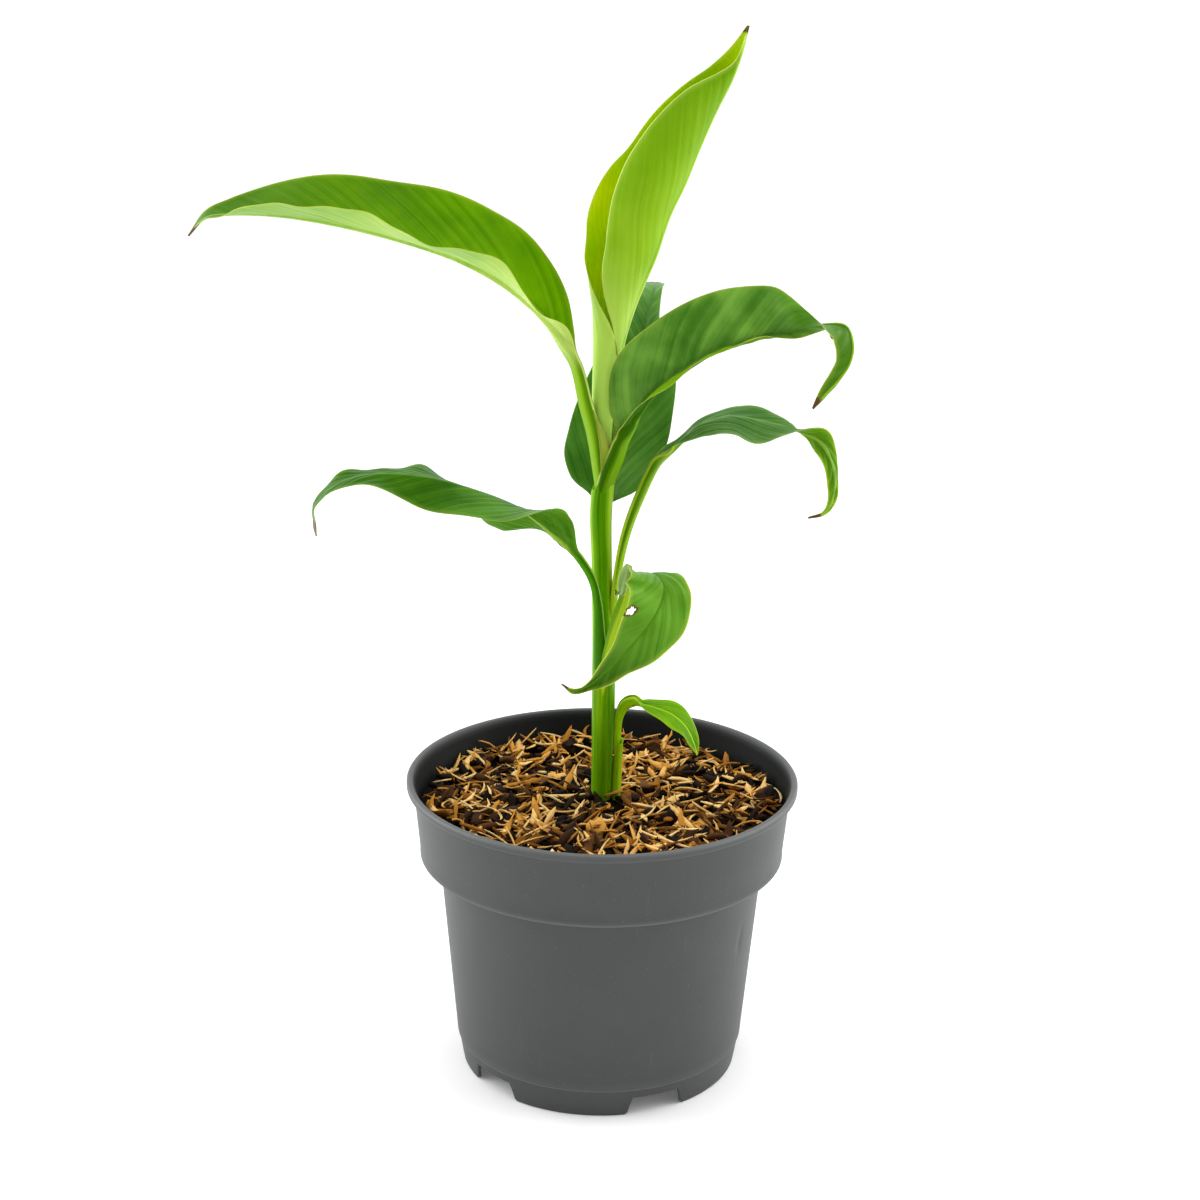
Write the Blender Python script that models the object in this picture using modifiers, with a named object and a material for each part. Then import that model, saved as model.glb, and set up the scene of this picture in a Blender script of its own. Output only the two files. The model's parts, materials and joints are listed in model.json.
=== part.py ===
"""A young banana plant in a round nursery pot: solids at real size.

The origin is the middle of the pot's underside, +Z is up and -Y is the front.
Sizes are in millimetres here and become metres where meshes are made.
"""

from dataclasses import dataclass

import bmesh
import bpy
import numpy as np

MM = 0.001

# Pot
RIM_RADIUS = 95.0
POT_HEIGHT = 147.3
LIP_DEPTH = 4.0
COLLAR_TOP_RADIUS = 91.5
COLLAR_FOOT_RADIUS = 88.5
COLLAR_FOOT_Z = 108.9
BODY_TOP_RADIUS = 79.3
SEAM_Z = 14.4
SEAM_RADIUS = 70.7
FOOT_RADIUS = 67.8
WALL = 1.2
FLOOR_UNDERSIDE_Z = 10.4
PAD_RADIUS = 12.0
NOTCHES = 5
NOTCH_FIRST_DEG = 24.0
NOTCH_WIDTH_DEG = 25.0
NOTCH_HEIGHT = 9.4
DRAIN_HOLES = 8
DRAIN_RADIUS = 4.5
DRAIN_CIRCLE = 44.0
TURN_STEPS = 72

# Filling
CLEARANCE = 0.3
SOIL_TOP_Z = 122.0
MULCH_LEVEL_Z = 132.8
MULCH_RINGS = 13
BARK_CHIPS = 130

# Leaves
BLADE_GAP = 0.3
ACROSS = (0.0, 0.07, 0.16, 0.36, 0.68, 1.0)


def through(keys, at):
    """Values of a smooth curve through keys whose first column is the position."""
    keys = np.asarray(keys, float)
    x, y = keys[:, 0], keys[:, 1:]
    gap = np.diff(x)
    slope = np.diff(y, axis=0) / gap[:, None]
    if len(x) > 2:
        inner = slope[:-1] * gap[1:, None] + slope[1:] * gap[:-1, None]
        inner /= (gap[:-1] + gap[1:])[:, None]
        slopes = np.vstack([slope[:1], inner, slope[-1:]])
    else:
        slopes = np.vstack([slope, slope])
    at = np.clip(np.atleast_1d(at), x[0], x[-1])
    i = np.clip(np.searchsorted(x, at, side="right") - 1, 0, len(x) - 2)
    u = ((at - x[i]) / gap[i])[:, None]
    h = gap[i][:, None]
    return (
        (2 * u**3 - 3 * u**2 + 1) * y[i]
        + (u**3 - 2 * u**2 + u) * h * slopes[i]
        + (3 * u**2 - 2 * u**3) * y[i + 1]
        + (u**3 - u**2) * h * slopes[i + 1]
    )


def value(keys, at):
    """One number at each position, from a constant or from keys."""
    if np.isscalar(keys):
        return np.full(len(np.atleast_1d(at)), float(keys))
    return through(keys, at)[:, 0]


class Path:
    """A smooth line through points, read by its share of the length."""

    def __init__(self, points):
        points = np.asarray(points, float)
        chords = np.linalg.norm(np.diff(points, axis=0), axis=1) ** 0.5
        knots = np.concatenate([[0.0], np.cumsum(chords)])
        fine = np.linspace(0.0, knots[-1], 1500)
        self.line = through(np.column_stack([knots, points]), fine)
        steps = np.linalg.norm(np.diff(self.line, axis=0), axis=1)
        run = np.concatenate([[0.0], np.cumsum(steps)])
        self.length = run[-1]
        self.share = run / run[-1]
        self.share_of_point = np.interp(knots, fine, self.share)

    def at(self, share):
        return np.column_stack(
            [np.interp(share, self.share, axis) for axis in self.line.T]
        )

    def direction(self, share):
        ends = [np.clip(share + step, 0.0, 1.0) for step in (0.002, -0.002)]
        run = self.at(ends[0]) - self.at(ends[1])
        return run / np.linalg.norm(run, axis=1)[:, None]


@dataclass
class Leaf:
    """A leaf as a rib line, a petiole and two halves that rise from the rib.

    rib holds points from inside the stem to the tip, and base is the point
    where the blade starts. side points to the leaf's left. shape times width
    is the half width along the blade from 0 to 1. left and right are the
    angles of the halves above the rib's side line, and curl bends them.
    """

    name: str
    rib: tuple
    base: int
    side: tuple
    width: float
    shape: tuple
    left: tuple
    right: tuple
    petiole: tuple
    splits: tuple
    thickness: float
    rib_depth: float
    left_width: object = 1.0
    right_width: object = 1.0
    left_curl: object = 0.0
    right_curl: object = 0.0
    outward: float = 1.0

    def __post_init__(self):
        self.path = Path(self.rib)
        self.start = self.path.share_of_point[self.base]

    def share(self, b):
        return self.start + (1.0 - self.start) * b

    def frame(self, b):
        at = self.share(b)
        along = self.path.direction(at)
        normal = np.cross(along, np.asarray(self.side, float))
        normal /= np.linalg.norm(normal, axis=1)[:, None]
        return self.path.at(at), along, np.cross(normal, along), normal

    def half(self, b, sign):
        """Points and normals of one half, each as stations by places across."""
        rib, _, side, normal = self.frame(b)
        own = self.left_width if sign > 0 else self.right_width
        reach = self.width * value(self.shape, b) * value(own, b)
        angle = np.radians(value(self.left if sign > 0 else self.right, b))
        curl = np.radians(
            value(self.left_curl if sign > 0 else self.right_curl, b)
        )
        v = np.asarray(ACROSS)[None, :]
        bend = curl[:, None] * v
        chord = reach[:, None] * v * np.sinc(bend / (2 * np.pi))
        turn = angle[:, None] + bend / 2
        points = (
            rib[:, None]
            + (chord * np.cos(turn))[..., None] * sign * side[:, None]
            + (chord * np.sin(turn))[..., None] * normal[:, None]
        )
        face = angle[:, None] + bend
        normals = (
            -np.sin(face)[..., None] * sign * side[:, None]
            + np.cos(face)[..., None] * normal[:, None]
        )
        return points, normals, reach[:, None] * v

    def solid(self, start, end, stations):
        """Rings of a closed blade between two positions along it."""
        b = np.linspace(start, end, stations)
        left, left_n, left_v = self.half(b, 1)
        right, right_n, right_v = self.half(b, -1)
        middle = left_n[:, :1] + right_n[:, :1]
        middle /= np.maximum(np.linalg.norm(middle, axis=2), 0.6)[..., None]
        left_n[:, 0] = right_n[:, 0] = middle[:, 0]
        points = np.concatenate([right[:, ::-1], left[:, 1:]], axis=1)
        normals = np.concatenate([right_n[:, ::-1], left_n[:, 1:]], axis=1)
        away = np.concatenate([right_v[:, ::-1], left_v[:, 1:]], axis=1)
        depth = value(((0, self.rib_depth), (0.5, 0.35 * self.rib_depth), (1, 0.1)), b)
        rib = depth[:, None] * np.clip(1 - (away / 3.2) ** 2, 0, 1)
        low = 0.5 * (1 + self.outward) * self.thickness + rib
        high = 0.5 * (1 - self.outward) * self.thickness
        upper = points + high * normals
        lower = points - low[..., None] * normals
        return np.concatenate([upper, lower[:, ::-1]], axis=1)


LEAVES = (
    Leaf(
        name="upper_left",
        rib=(
            (-4, 0, 279.6), (-5, -1, 298), (-7, -2, 317), (-11, -3, 332),
            (-16, -4, 352), (-27, -5, 371), (-45, -6, 387), (-65, -6, 398),
            (-85, -6, 405), (-118, -5, 413), (-148, -3, 417), (-171, -1, 417),
            (-182, 0, 415), (-190, 0, 407),
        ),
        base=4,
        side=(0, -1, 0),
        width=37,
        shape=((0, 0.06), (0.06, 0.2), (0.13, 0.43), (0.2, 0.6), (0.27, 0.74),
               (0.34, 0.79), (0.52, 0.79), (0.65, 0.73), (0.8, 0.56),
               (0.9, 0.27), (1, 0.02)),
        left=((0, 70), (0.06, 36), (0.13, 8), (0.27, 18), (0.42, 12),
              (0.65, 24), (0.8, 17), (0.9, 6), (1, 11)),
        right=((0, 70), (0.06, 58), (0.2, 50), (0.5, 45), (0.8, 34), (1, 17)),
        left_curl=((0, 20), (0.3, 10), (1, 0)),
        right_curl=((0, 20), (0.3, 10), (1, 0)),
        left_width=0.96,
        right_width=1.04,
        petiole=((0, 3.4), (0.5, 3.5), (1, 2.8)),
        splits=((0, 0.3, 9), (0.3, 1, 14)),
        thickness=2.1,
        rib_depth=3.2,
    ),
    Leaf(
        name="furled",
        rib=(
            (3, 3, 337), (5, 4, 348), (7, 5, 360), (11, 5, 374), (16, 6, 387),
            (21, 7, 399), (27, 9, 417), (34, 11, 432), (40, 13, 447),
            (47, 15, 463), (54, 17, 477), (58, 18, 488), (61, 19, 501),
        ),
        base=1,
        side=(0, 1, 0),
        width=34,
        shape=((0, 1), (0.45, 1), (0.6, 0.88), (0.7, 0.74), (0.8, 0.52),
               (0.88, 0.32), (0.95, 0.14), (1, 0.02)),
        left=((0, 0), (0.12, 0), (0.26, 12), (0.36, 30), (0.6, 32), (1, 40)),
        right=((0, 0), (0.1, 4), (0.21, 20), (0.36, 30), (0.6, 30), (1, 40)),
        left_curl=((0, 330), (0.12, 240), (0.26, 140), (0.36, 100), (0.6, 85),
                   (1, 50)),
        right_curl=((0, 15), (0.06, 50), (0.12, 75), (0.21, 100), (0.36, 95),
                    (0.6, 85), (1, 50)),
        right_width=((0, 0.06), (0.06, 0.18), (0.12, 0.33), (0.21, 0.62),
                     (0.34, 0.8), (0.45, 0.93), (0.6, 1.05), (0.7, 1.0),
                     (0.78, 0.9), (0.85, 0.62), (0.9, 0.25), (1, 0.3)),
        petiole=((0, 4.3), (0.4, 4.9), (1, 5.4)),
        splits=((0, 1, 24),),
        thickness=1.9,
        rib_depth=1.2,
        outward=-1,
    ),
    Leaf(
        name="upper_right",
        rib=(
            (1, -2, 279.6), (1, -3, 292), (3, -5, 306), (7, -6, 318),
            (13, -8, 329), (22, -10, 341), (33, -12, 350), (48, -14, 360),
            (65, -16, 366), (82, -17, 370), (97, -18, 373), (106, -20, 373),
            (109, -24, 366), (108, -26, 358), (104, -26, 351), (98, -24, 343),
            (93, -22, 336),
        ),
        base=3,
        side=(0, 1, 0),
        width=30,
        shape=((0, 0.1), (0.06, 0.43), (0.14, 0.77), (0.27, 0.9),
               (0.42, 0.83), (0.55, 0.61), (0.64, 0.51), (0.71, 0.51),
               (0.78, 0.42), (0.86, 0.26), (0.93, 0.15), (1, 0.02)),
        left=((0, 98), (0.06, 84), (0.14, 79), (0.27, 71), (0.42, 70),
              (0.55, 87), (0.64, 143), (0.71, 189), (0.78, 226), (0.86, 243),
              (1, 270)),
        right=((0, 12), (0.06, 0), (0.42, 3), (0.55, -10), (0.64, -110),
               (0.71, -160), (0.78, -180), (0.86, -198), (1, -230)),
        left_width=((0, 0.92), (0.27, 0.94), (0.42, 1.02), (0.55, 1.2),
                    (0.64, 1.2), (0.78, 0.92), (1, 0.95)),
        right_width=((0, 1), (0.14, 1.15), (0.27, 1.1), (0.42, 0.87),
                     (0.55, 0.35), (0.64, 0.24), (0.78, 0.35), (1, 0.7)),
        petiole=((0, 3.4), (0.5, 3.1), (1, 2.7)),
        splits=((0, 0.5, 12), (0.5, 1, 18)),
        thickness=1.9,
        rib_depth=2.8,
    ),
    Leaf(
        name="back",
        rib=(
            (-1, 3, 256), (-2, 7, 278), (0, 10, 287), (3, 14, 299),
            (7, 19, 315), (12, 25, 332), (16, 33, 350), (19, 44, 365),
            (22, 60, 375), (23, 85, 374), (21, 112, 363), (18, 132, 345),
            (16, 142, 328),
        ),
        base=1,
        side=(-1, 0, 0),
        width=27,
        shape=((0, 0.22), (0.04, 0.58), (0.09, 0.79), (0.16, 0.86),
               (0.25, 0.82), (0.35, 0.72), (0.45, 0.45), (0.6, 0.5),
               (0.75, 0.4), (0.9, 0.22), (1, 0.02)),
        left=((0, 11), (0.1, 6), (0.35, 14), (0.5, 0), (1, 0)),
        right=((0, 45), (0.09, 31), (0.2, 19), (0.45, 20), (0.55, 0), (1, 0)),
        left_width=1.05,
        right_width=0.95,
        petiole=((0, 2.4), (1, 2.2)),
        splits=((0, 0.36, 9), (0.36, 1, 15)),
        thickness=2.2,
        rib_depth=1.4,
    ),
    Leaf(
        name="mid_right",
        rib=(
            (1, -2, 177), (1, -7, 219), (6, -8, 247), (9, -6, 271),
            (16, -2, 289), (24, 2, 304), (33, 5, 313), (43, 8, 321),
            (57, 10, 325), (74, 12, 322), (89, 13, 318), (98, 13, 314),
            (104, 11, 306), (107, 8, 296), (106, 5, 286), (102, 3, 280),
            (95, 2, 278),
        ),
        base=6,
        side=(0, 1, 0),
        width=22,
        shape=((0, 0.23), (0.07, 0.68), (0.18, 0.74), (0.3, 0.69),
               (0.42, 0.5), (0.5, 0.34), (0.57, 0.24), (0.64, 0.21),
               (0.75, 0.21), (0.87, 0.1), (1, 0.02)),
        left=((0, 7), (0.3, 5), (0.42, 14), (0.5, 10), (0.57, -43),
              (0.64, -90), (1, -94)),
        right=((0, -30), (0.1, -9), (0.42, -12), (0.5, 0), (0.57, 40),
               (0.64, 110), (0.75, 145), (1, 90)),
        petiole=((0, 2.6), (0.5, 2.4), (1, 2.0)),
        splits=((0, 0.45, 11), (0.45, 1, 16)),
        thickness=1.4,
        rib_depth=2.0,
    ),
    Leaf(
        name="lower_left",
        rib=(
            (2, -3, 167), (2, -7, 194), (2, -10, 218), (-1, -14, 239),
            (-6, -18, 253), (-14, -22, 266), (-23, -26, 277), (-33, -30, 287),
            (-44, -33, 294), (-61, -36, 301), (-79, -38, 306),
            (-97, -40, 308), (-112, -42, 307), (-123, -44, 302),
            (-131, -45, 293), (-131, -46, 287), (-130, -46, 280),
        ),
        base=5,
        side=(0.09, -1, 0),
        width=30,
        shape=((0, 0.1), (0.06, 0.26), (0.13, 0.47), (0.2, 0.77),
               (0.28, 0.85), (0.38, 0.81), (0.5, 0.66), (0.62, 0.44),
               (0.75, 0.3), (0.88, 0.16), (1, 0.02)),
        left=((0, 100), (0.06, 96), (0.13, 60), (0.2, 30), (0.28, 0),
              (0.38, -17), (0.5, -38), (0.62, -45), (0.75, -8), (1, -20)),
        right=((0, -55), (0.06, -30), (0.2, -46), (0.38, -33), (0.5, -9),
               (0.75, 2), (1, 14)),
        left_width=0.95,
        right_width=1.05,
        petiole=((0, 3.4), (0.5, 3.2), (1, 2.5)),
        splits=((0, 0.3, 10), (0.3, 1, 15)),
        thickness=1.6,
        rib_depth=2.6,
    ),
    Leaf(
        name="front",
        rib=(
            (0, -3, 157), (0, -8, 184), (2, -13, 214), (6, -17, 238),
            (13, -22, 255), (22, -30, 260), (27, -40, 257), (26, -45, 251),
            (22, -50, 244), (11, -55, 231), (2, -57, 222), (-6, -58, 215),
            (-13, -58, 212), (-19, -58, 215),
        ),
        base=4,
        side=(0.74, 0.1, -0.66),
        width=18,
        shape=((0, 0.25), (0.1, 0.61), (0.2, 0.76), (0.35, 0.91),
               (0.5, 0.78), (0.65, 0.53), (0.8, 0.31), (0.9, 0.16), (1, 0.02)),
        left=((0, 14), (0.1, 38), (0.2, 32), (0.35, 7), (0.65, -6),
              (0.8, -18), (1, -20)),
        right=((0, -4), (0.1, -38), (0.2, -22), (0.35, 0), (0.65, 15),
               (0.8, 40), (1, 20)),
        left_width=((0, 1.2), (0.2, 0.85), (0.5, 1.08), (1, 1.1)),
        right_width=((0, 0.8), (0.2, 1.2), (0.5, 0.92), (1, 0.9)),
        petiole=((0, 2.4), (1, 1.9)),
        splits=((0.003, 0.268, 8), (0.272, 1, 14)),
        thickness=1.3,
        rib_depth=1.4,
    ),
    Leaf(
        name="sucker",
        rib=(
            (7, 2, 165), (10, 1, 177), (13, 0, 183), (18, -1, 185),
            (25, -2, 184), (33, -3, 181), (40, -4, 175), (44, -5, 167),
            (46, -5, 160),
        ),
        base=3,
        side=(0, 1, 0),
        width=9,
        shape=((0, 0.2), (0.15, 0.73), (0.35, 1.08), (0.6, 1.0), (0.8, 0.57),
               (1, 0.03)),
        left=((0, 0), (0.3, 16), (0.6, 22), (1, 36)),
        right=((0, -4), (0.3, -16), (0.6, -19), (1, -24)),
        petiole=((0, 1.9), (1, 1.3)),
        splits=((0, 0.42, 7), (0.42, 1, 9)),
        thickness=1.0,
        rib_depth=1.0,
    ),
)

STEM = ((1, 0, SOIL_TOP_Z + CLEARANCE), (1, 0, 132), (1, 0, 155),
        (1, 0, 194), (0, 0, 227), (-1, 0, 257), (-1, 0, 279))
STEM_RADII = ((0, 4.7), (0.08, 4.5), (0.45, 5.4), (0.85, 4.8), (1, 5.3))
SUCKER = ((7.5, 1, SOIL_TOP_Z + CLEARANCE), (7.5, 1, 132), (7.5, 2, 150),
          (8.5, 2, 162), (9, 1, 168))
SUCKER_RADII = ((0, 2.6), (0.5, 2.5), (1, 2.2))

# Each limb gives way to the ones named, which grow by the clearance to cut it.
GIVES_WAY = {
    "sucker_stem": ("pseudostem",),
    "petiole_furled": ("pseudostem",),
    "petiole_upper_right": ("pseudostem", "petiole_furled"),
    "petiole_upper_left": ("pseudostem", "petiole_furled", "petiole_upper_right"),
    "petiole_back": ("pseudostem", "petiole_furled", "petiole_upper_left"),
    "petiole_mid_right": ("pseudostem",),
    "petiole_lower_left": ("pseudostem", "petiole_mid_right"),
    "petiole_front": ("pseudostem", "petiole_mid_right", "petiole_lower_left"),
    "petiole_sucker": ("pseudostem", "sucker_stem"),
    "bark_mulch": ("pseudostem", "sucker_stem"),
    "blade_back": ("pseudostem", "petiole_furled", "petiole_upper_left",
                   "petiole_upper_right", "petiole_mid_right"),
}

COLOURS = {
    "pot": (0.07, 0.08, 0.085),
    "potting_soil": (0.03, 0.02, 0.012),
    "bark_mulch": (0.25, 0.13, 0.05),
    "pseudostem": (0.22, 0.42, 0.06),
    "sucker_stem": (0.3, 0.5, 0.08),
    "petiole": (0.28, 0.48, 0.08),
    "blade": (0.08, 0.25, 0.03),
}


def clear_scene():
    """Removes the startup objects and sets up the collection for cutters."""
    for obj in list(bpy.data.objects):
        bpy.data.objects.remove(obj)
    cutters = bpy.data.collections.new("cutters")
    bpy.context.scene.collection.children.link(cutters)
    cutters.hide_render = True
    return cutters


def add_object(name, mesh, collection=None):
    """Links a mesh as an object, in the scene or in the cutters' collection."""
    obj = bpy.data.objects.new(name, mesh)
    (collection or bpy.context.scene.collection).objects.link(obj)
    if collection:
        obj.hide_render = True
        obj.display_type = "WIRE"
        return obj
    colour = COLOURS[name if name in COLOURS else name.split("_")[0]]
    material = bpy.data.materials.new(name)
    material.diffuse_color = (*colour, 1)
    material.use_nodes = True
    shader = material.node_tree.nodes["Principled BSDF"]
    shader.inputs["Base Color"].default_value = (*colour, 1)
    mesh.materials.append(material)
    return obj


def mesh_of(name, points, faces):
    """A closed mesh from millimetre points, with its faces turned outward."""
    shape = bmesh.new()
    corners = [shape.verts.new(tuple(float(c) * MM for c in p)) for p in points]
    for face in faces:
        shape.faces.new([corners[i] for i in face])
    bmesh.ops.recalc_face_normals(shape, faces=shape.faces)
    if shape.calc_volume(signed=True) < 0:
        bmesh.ops.reverse_faces(shape, faces=shape.faces)
    mesh = bpy.data.meshes.new(name)
    shape.to_mesh(mesh)
    shape.free()
    return mesh


def turned(name, profile):
    """A solid of revolution whose profile runs down its outer side."""
    mesh = bpy.data.meshes.new(name)
    points = [(r * MM, 0.0, z * MM) for r, z in profile]
    edges = [(i, i + 1) for i in range(len(points) - 1)]
    mesh.from_pydata(points, edges, [])
    obj = add_object(name, mesh)
    screw = obj.modifiers.new("turn", "SCREW")
    screw.steps = screw.render_steps = TURN_STEPS
    screw.use_merge_vertices = True
    screw.merge_threshold = 1e-5
    return obj


def skin(rings, cap_strip):
    """Quads between closed rings, and end caps across a thin or round ring."""
    count, size = rings.shape[:2]
    faces = []
    for row in range(count - 1):
        for k in range(size):
            a, b = row * size + k, row * size + (k + 1) % size
            faces.append((a, b, b + size, a + size))
    for row in (0, count - 1):
        if cap_strip:
            for k in range(size // 2 - 1):
                faces.append(
                    tuple(row * size + j for j in (k, k + 1, size - 2 - k, size - 1 - k))
                )
        else:
            faces.append(tuple(row * size + k for k in range(size)))
    return rings.reshape(-1, 3), faces


def limb_mesh(name, path, radii, start, end, stations, grow=0.0):
    """A tapering limb: a bevelled curve made into a closed mesh."""
    share = np.linspace(start, end, stations)
    curve = bpy.data.curves.new(name, "CURVE")
    curve.dimensions = "3D"
    curve.bevel_depth = MM
    curve.bevel_resolution = 2
    curve.use_fill_caps = True
    spline = curve.splines.new("POLY")
    spline.points.add(stations - 1)
    across = value(radii, (share - share[0]) / (share[-1] - share[0])) + grow
    places = path.at(share)
    ends = path.direction(share[[0, -1]])
    places[0] -= grow * ends[0]
    places[-1] += grow * ends[1]
    for knot, place, radius in zip(spline.points, places, across):
        knot.co = (*(place * MM), 1.0)
        knot.radius = radius
    guide = bpy.data.objects.new(name + "_guide", curve)
    bpy.context.scene.collection.objects.link(guide)
    bpy.context.view_layer.update()
    graph = bpy.context.evaluated_depsgraph_get()
    mesh = bpy.data.meshes.new_from_object(guide.evaluated_get(graph))
    bpy.data.objects.remove(guide)
    bpy.data.curves.remove(curve)
    shape = bmesh.new()
    shape.from_mesh(mesh)
    bmesh.ops.remove_doubles(shape, verts=shape.verts, dist=1e-6)
    bmesh.ops.recalc_face_normals(shape, faces=shape.faces)
    shape.to_mesh(mesh)
    shape.free()
    mesh.name = name
    return mesh


def cut(obj, cutter):
    """Takes the cutter's volume out of the object."""
    boolean = obj.modifiers.new(cutter.name, "BOOLEAN")
    boolean.operation = "DIFFERENCE"
    boolean.solver = "EXACT"
    boolean.object = cutter


def make_pot(cutters):
    """The turned pot, with foot notches and drain holes cut from it."""
    body_slope = (BODY_TOP_RADIUS - SEAM_RADIUS) / (COLLAR_FOOT_Z - SEAM_Z)
    inner_floor = SEAM_RADIUS - WALL - 1.5 * body_slope
    floor_top = FLOOR_UNDERSIDE_Z + WALL
    top = POT_HEIGHT
    lip_foot = top - LIP_DEPTH
    profile = (
        (0, floor_top),
        (inner_floor - 1.5, floor_top),
        (inner_floor, floor_top + 1.5),
        (BODY_TOP_RADIUS - WALL, COLLAR_FOOT_Z + 0.6),
        (BODY_TOP_RADIUS - 0.6, COLLAR_FOOT_Z + WALL),
        (COLLAR_FOOT_RADIUS - WALL - 0.5, COLLAR_FOOT_Z + WALL),
        (COLLAR_FOOT_RADIUS - WALL, COLLAR_FOOT_Z + WALL + 0.5),
        (COLLAR_TOP_RADIUS - WALL, lip_foot),
        (COLLAR_TOP_RADIUS + 0.1, top - 0.8),
        (COLLAR_TOP_RADIUS + 0.9, top),
        (RIM_RADIUS - 0.9, top),
        (RIM_RADIUS, top - 0.9),
        (RIM_RADIUS, lip_foot + 1.0),
        (RIM_RADIUS - 0.7, lip_foot + 0.2),
        (COLLAR_TOP_RADIUS + 0.2, lip_foot - 0.2),
        (COLLAR_TOP_RADIUS, lip_foot - 0.8),
        (COLLAR_FOOT_RADIUS + 0.1, COLLAR_FOOT_Z + 0.8),
        (COLLAR_FOOT_RADIUS - 0.6, COLLAR_FOOT_Z),
        (BODY_TOP_RADIUS + 0.6, COLLAR_FOOT_Z),
        (BODY_TOP_RADIUS, COLLAR_FOOT_Z - 0.6),
        (SEAM_RADIUS, SEAM_Z + 0.2),
        (SEAM_RADIUS - 0.4, SEAM_Z - 0.2),
        (FOOT_RADIUS + 0.5, 1.6),
        (FOOT_RADIUS, 0.6),
        (FOOT_RADIUS - 0.6, 0),
        (FOOT_RADIUS - 2.0, 0),
        (FOOT_RADIUS - 1.4, FLOOR_UNDERSIDE_Z),
        (PAD_RADIUS + 1, FLOOR_UNDERSIDE_Z),
        (PAD_RADIUS, 0),
        (0, 0),
    )
    pot = turned("pot", profile)
    points, faces = [], []

    def add_prism(outline, low, high):
        size, first = len(outline), len(points)
        points.extend((x, y, z) for z in (low, high) for x, y in outline)
        faces.extend(
            (first + k, first + (k + 1) % size,
             first + size + (k + 1) % size, first + size + k)
            for k in range(size)
        )
        faces.append(tuple(first + k for k in range(size)))
        faces.append(tuple(first + size + k for k in range(size)))

    def round_about(radius, degrees):
        turn = np.radians(degrees)
        return radius * np.sin(turn), -radius * np.cos(turn)

    for notch in range(NOTCHES):
        middle = NOTCH_FIRST_DEG + notch * 360 / NOTCHES
        edges = middle + np.linspace(-0.5, 0.5, 6) * NOTCH_WIDTH_DEG
        outline = [round_about(FOOT_RADIUS - 5, d) for d in edges]
        outline += [round_about(FOOT_RADIUS + 6, d) for d in edges[::-1]]
        add_prism(outline, -2.0, NOTCH_HEIGHT)
    for hole in range(DRAIN_HOLES):
        x, y = round_about(DRAIN_CIRCLE, (hole + 0.5) * 360 / DRAIN_HOLES)
        turn = np.linspace(0, 2 * np.pi, 12, endpoint=False)
        outline = [(x + DRAIN_RADIUS * np.cos(t), y + DRAIN_RADIUS * np.sin(t))
                   for t in turn]
        add_prism(outline, FLOOR_UNDERSIDE_Z - 3, floor_top + 3)
    cut(pot, add_object("pot_openings", mesh_of("pot_openings", points, faces), cutters))
    return pot


def make_soil():
    """Soil that fills the pot from its floor to under the mulch."""
    wall = WALL + CLEARANCE
    collar_slope = (COLLAR_TOP_RADIUS - COLLAR_FOOT_RADIUS) / (
        POT_HEIGHT - LIP_DEPTH - COLLAR_FOOT_Z
    )
    ledge = COLLAR_FOOT_Z + WALL + CLEARANCE
    top_radius = COLLAR_FOOT_RADIUS - wall + collar_slope * (SOIL_TOP_Z - ledge)
    floor = FLOOR_UNDERSIDE_Z + WALL + CLEARANCE
    turned(
        "potting_soil",
        (
            (0, SOIL_TOP_Z),
            (top_radius, SOIL_TOP_Z),
            (COLLAR_FOOT_RADIUS - wall - 0.5, ledge + 0.4),
            (BODY_TOP_RADIUS - wall, ledge),
            (SEAM_RADIUS - wall - 0.3, floor + 2),
            (SEAM_RADIUS - wall - 2.6, floor),
            (0, floor),
        ),
    )


def make_mulch():
    """A layer of bark chips: a disc whose top is the height of tilted chips."""
    random = np.random.default_rng(11)
    base = SOIL_TOP_Z + CLEARANCE
    turn = np.linspace(0, 2 * np.pi, TURN_STEPS, endpoint=False)
    share = np.linspace(0, 1, MULCH_RINGS + 1)[1:] ** 0.8
    top_radius = COLLAR_FOOT_RADIUS - WALL - CLEARANCE + 1.75
    low_radius = COLLAR_FOOT_RADIUS - WALL - CLEARANCE + 0.85
    x = top_radius * share[:, None] * np.cos(turn)
    y = top_radius * share[:, None] * np.sin(turn)
    height = np.zeros_like(x)
    for _ in range(BARK_CHIPS):
        place = top_radius * np.sqrt(random.random())
        around, lie = random.random(2) * 2 * np.pi
        half_length, half_width = random.uniform(6, 17), random.uniform(3, 7)
        across = x - place * np.cos(around), y - place * np.sin(around)
        u = across[0] * np.cos(lie) + across[1] * np.sin(lie)
        w = across[1] * np.cos(lie) - across[0] * np.sin(lie)
        inside = (abs(u) < half_length) & (abs(w) < half_width)
        chip = random.uniform(0.8, 3.0) + u * random.uniform(-0.12, 0.12)
        height = np.where(inside, np.maximum(height, chip), height)
    z = MULCH_LEVEL_Z + height
    top = np.stack([x, y, z], axis=2).reshape(-1, 3)
    low = np.stack(
        [low_radius * np.cos(turn), low_radius * np.sin(turn), np.full(len(turn), base)],
        axis=1,
    )
    points = np.concatenate([[(0, 0, MULCH_LEVEL_Z)], top, low])
    steps, faces = TURN_STEPS, []
    for k in range(steps):
        after = (k + 1) % steps
        faces.append((0, 1 + k, 1 + after))
        for ring in range(MULCH_RINGS):
            a, b = 1 + ring * steps + k, 1 + ring * steps + after
            faces.append((a, a + steps, b + steps, b))
    faces.append(tuple(len(points) - steps + k for k in range(steps)))
    return add_object("bark_mulch", mesh_of("bark_mulch", points, faces))


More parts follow.
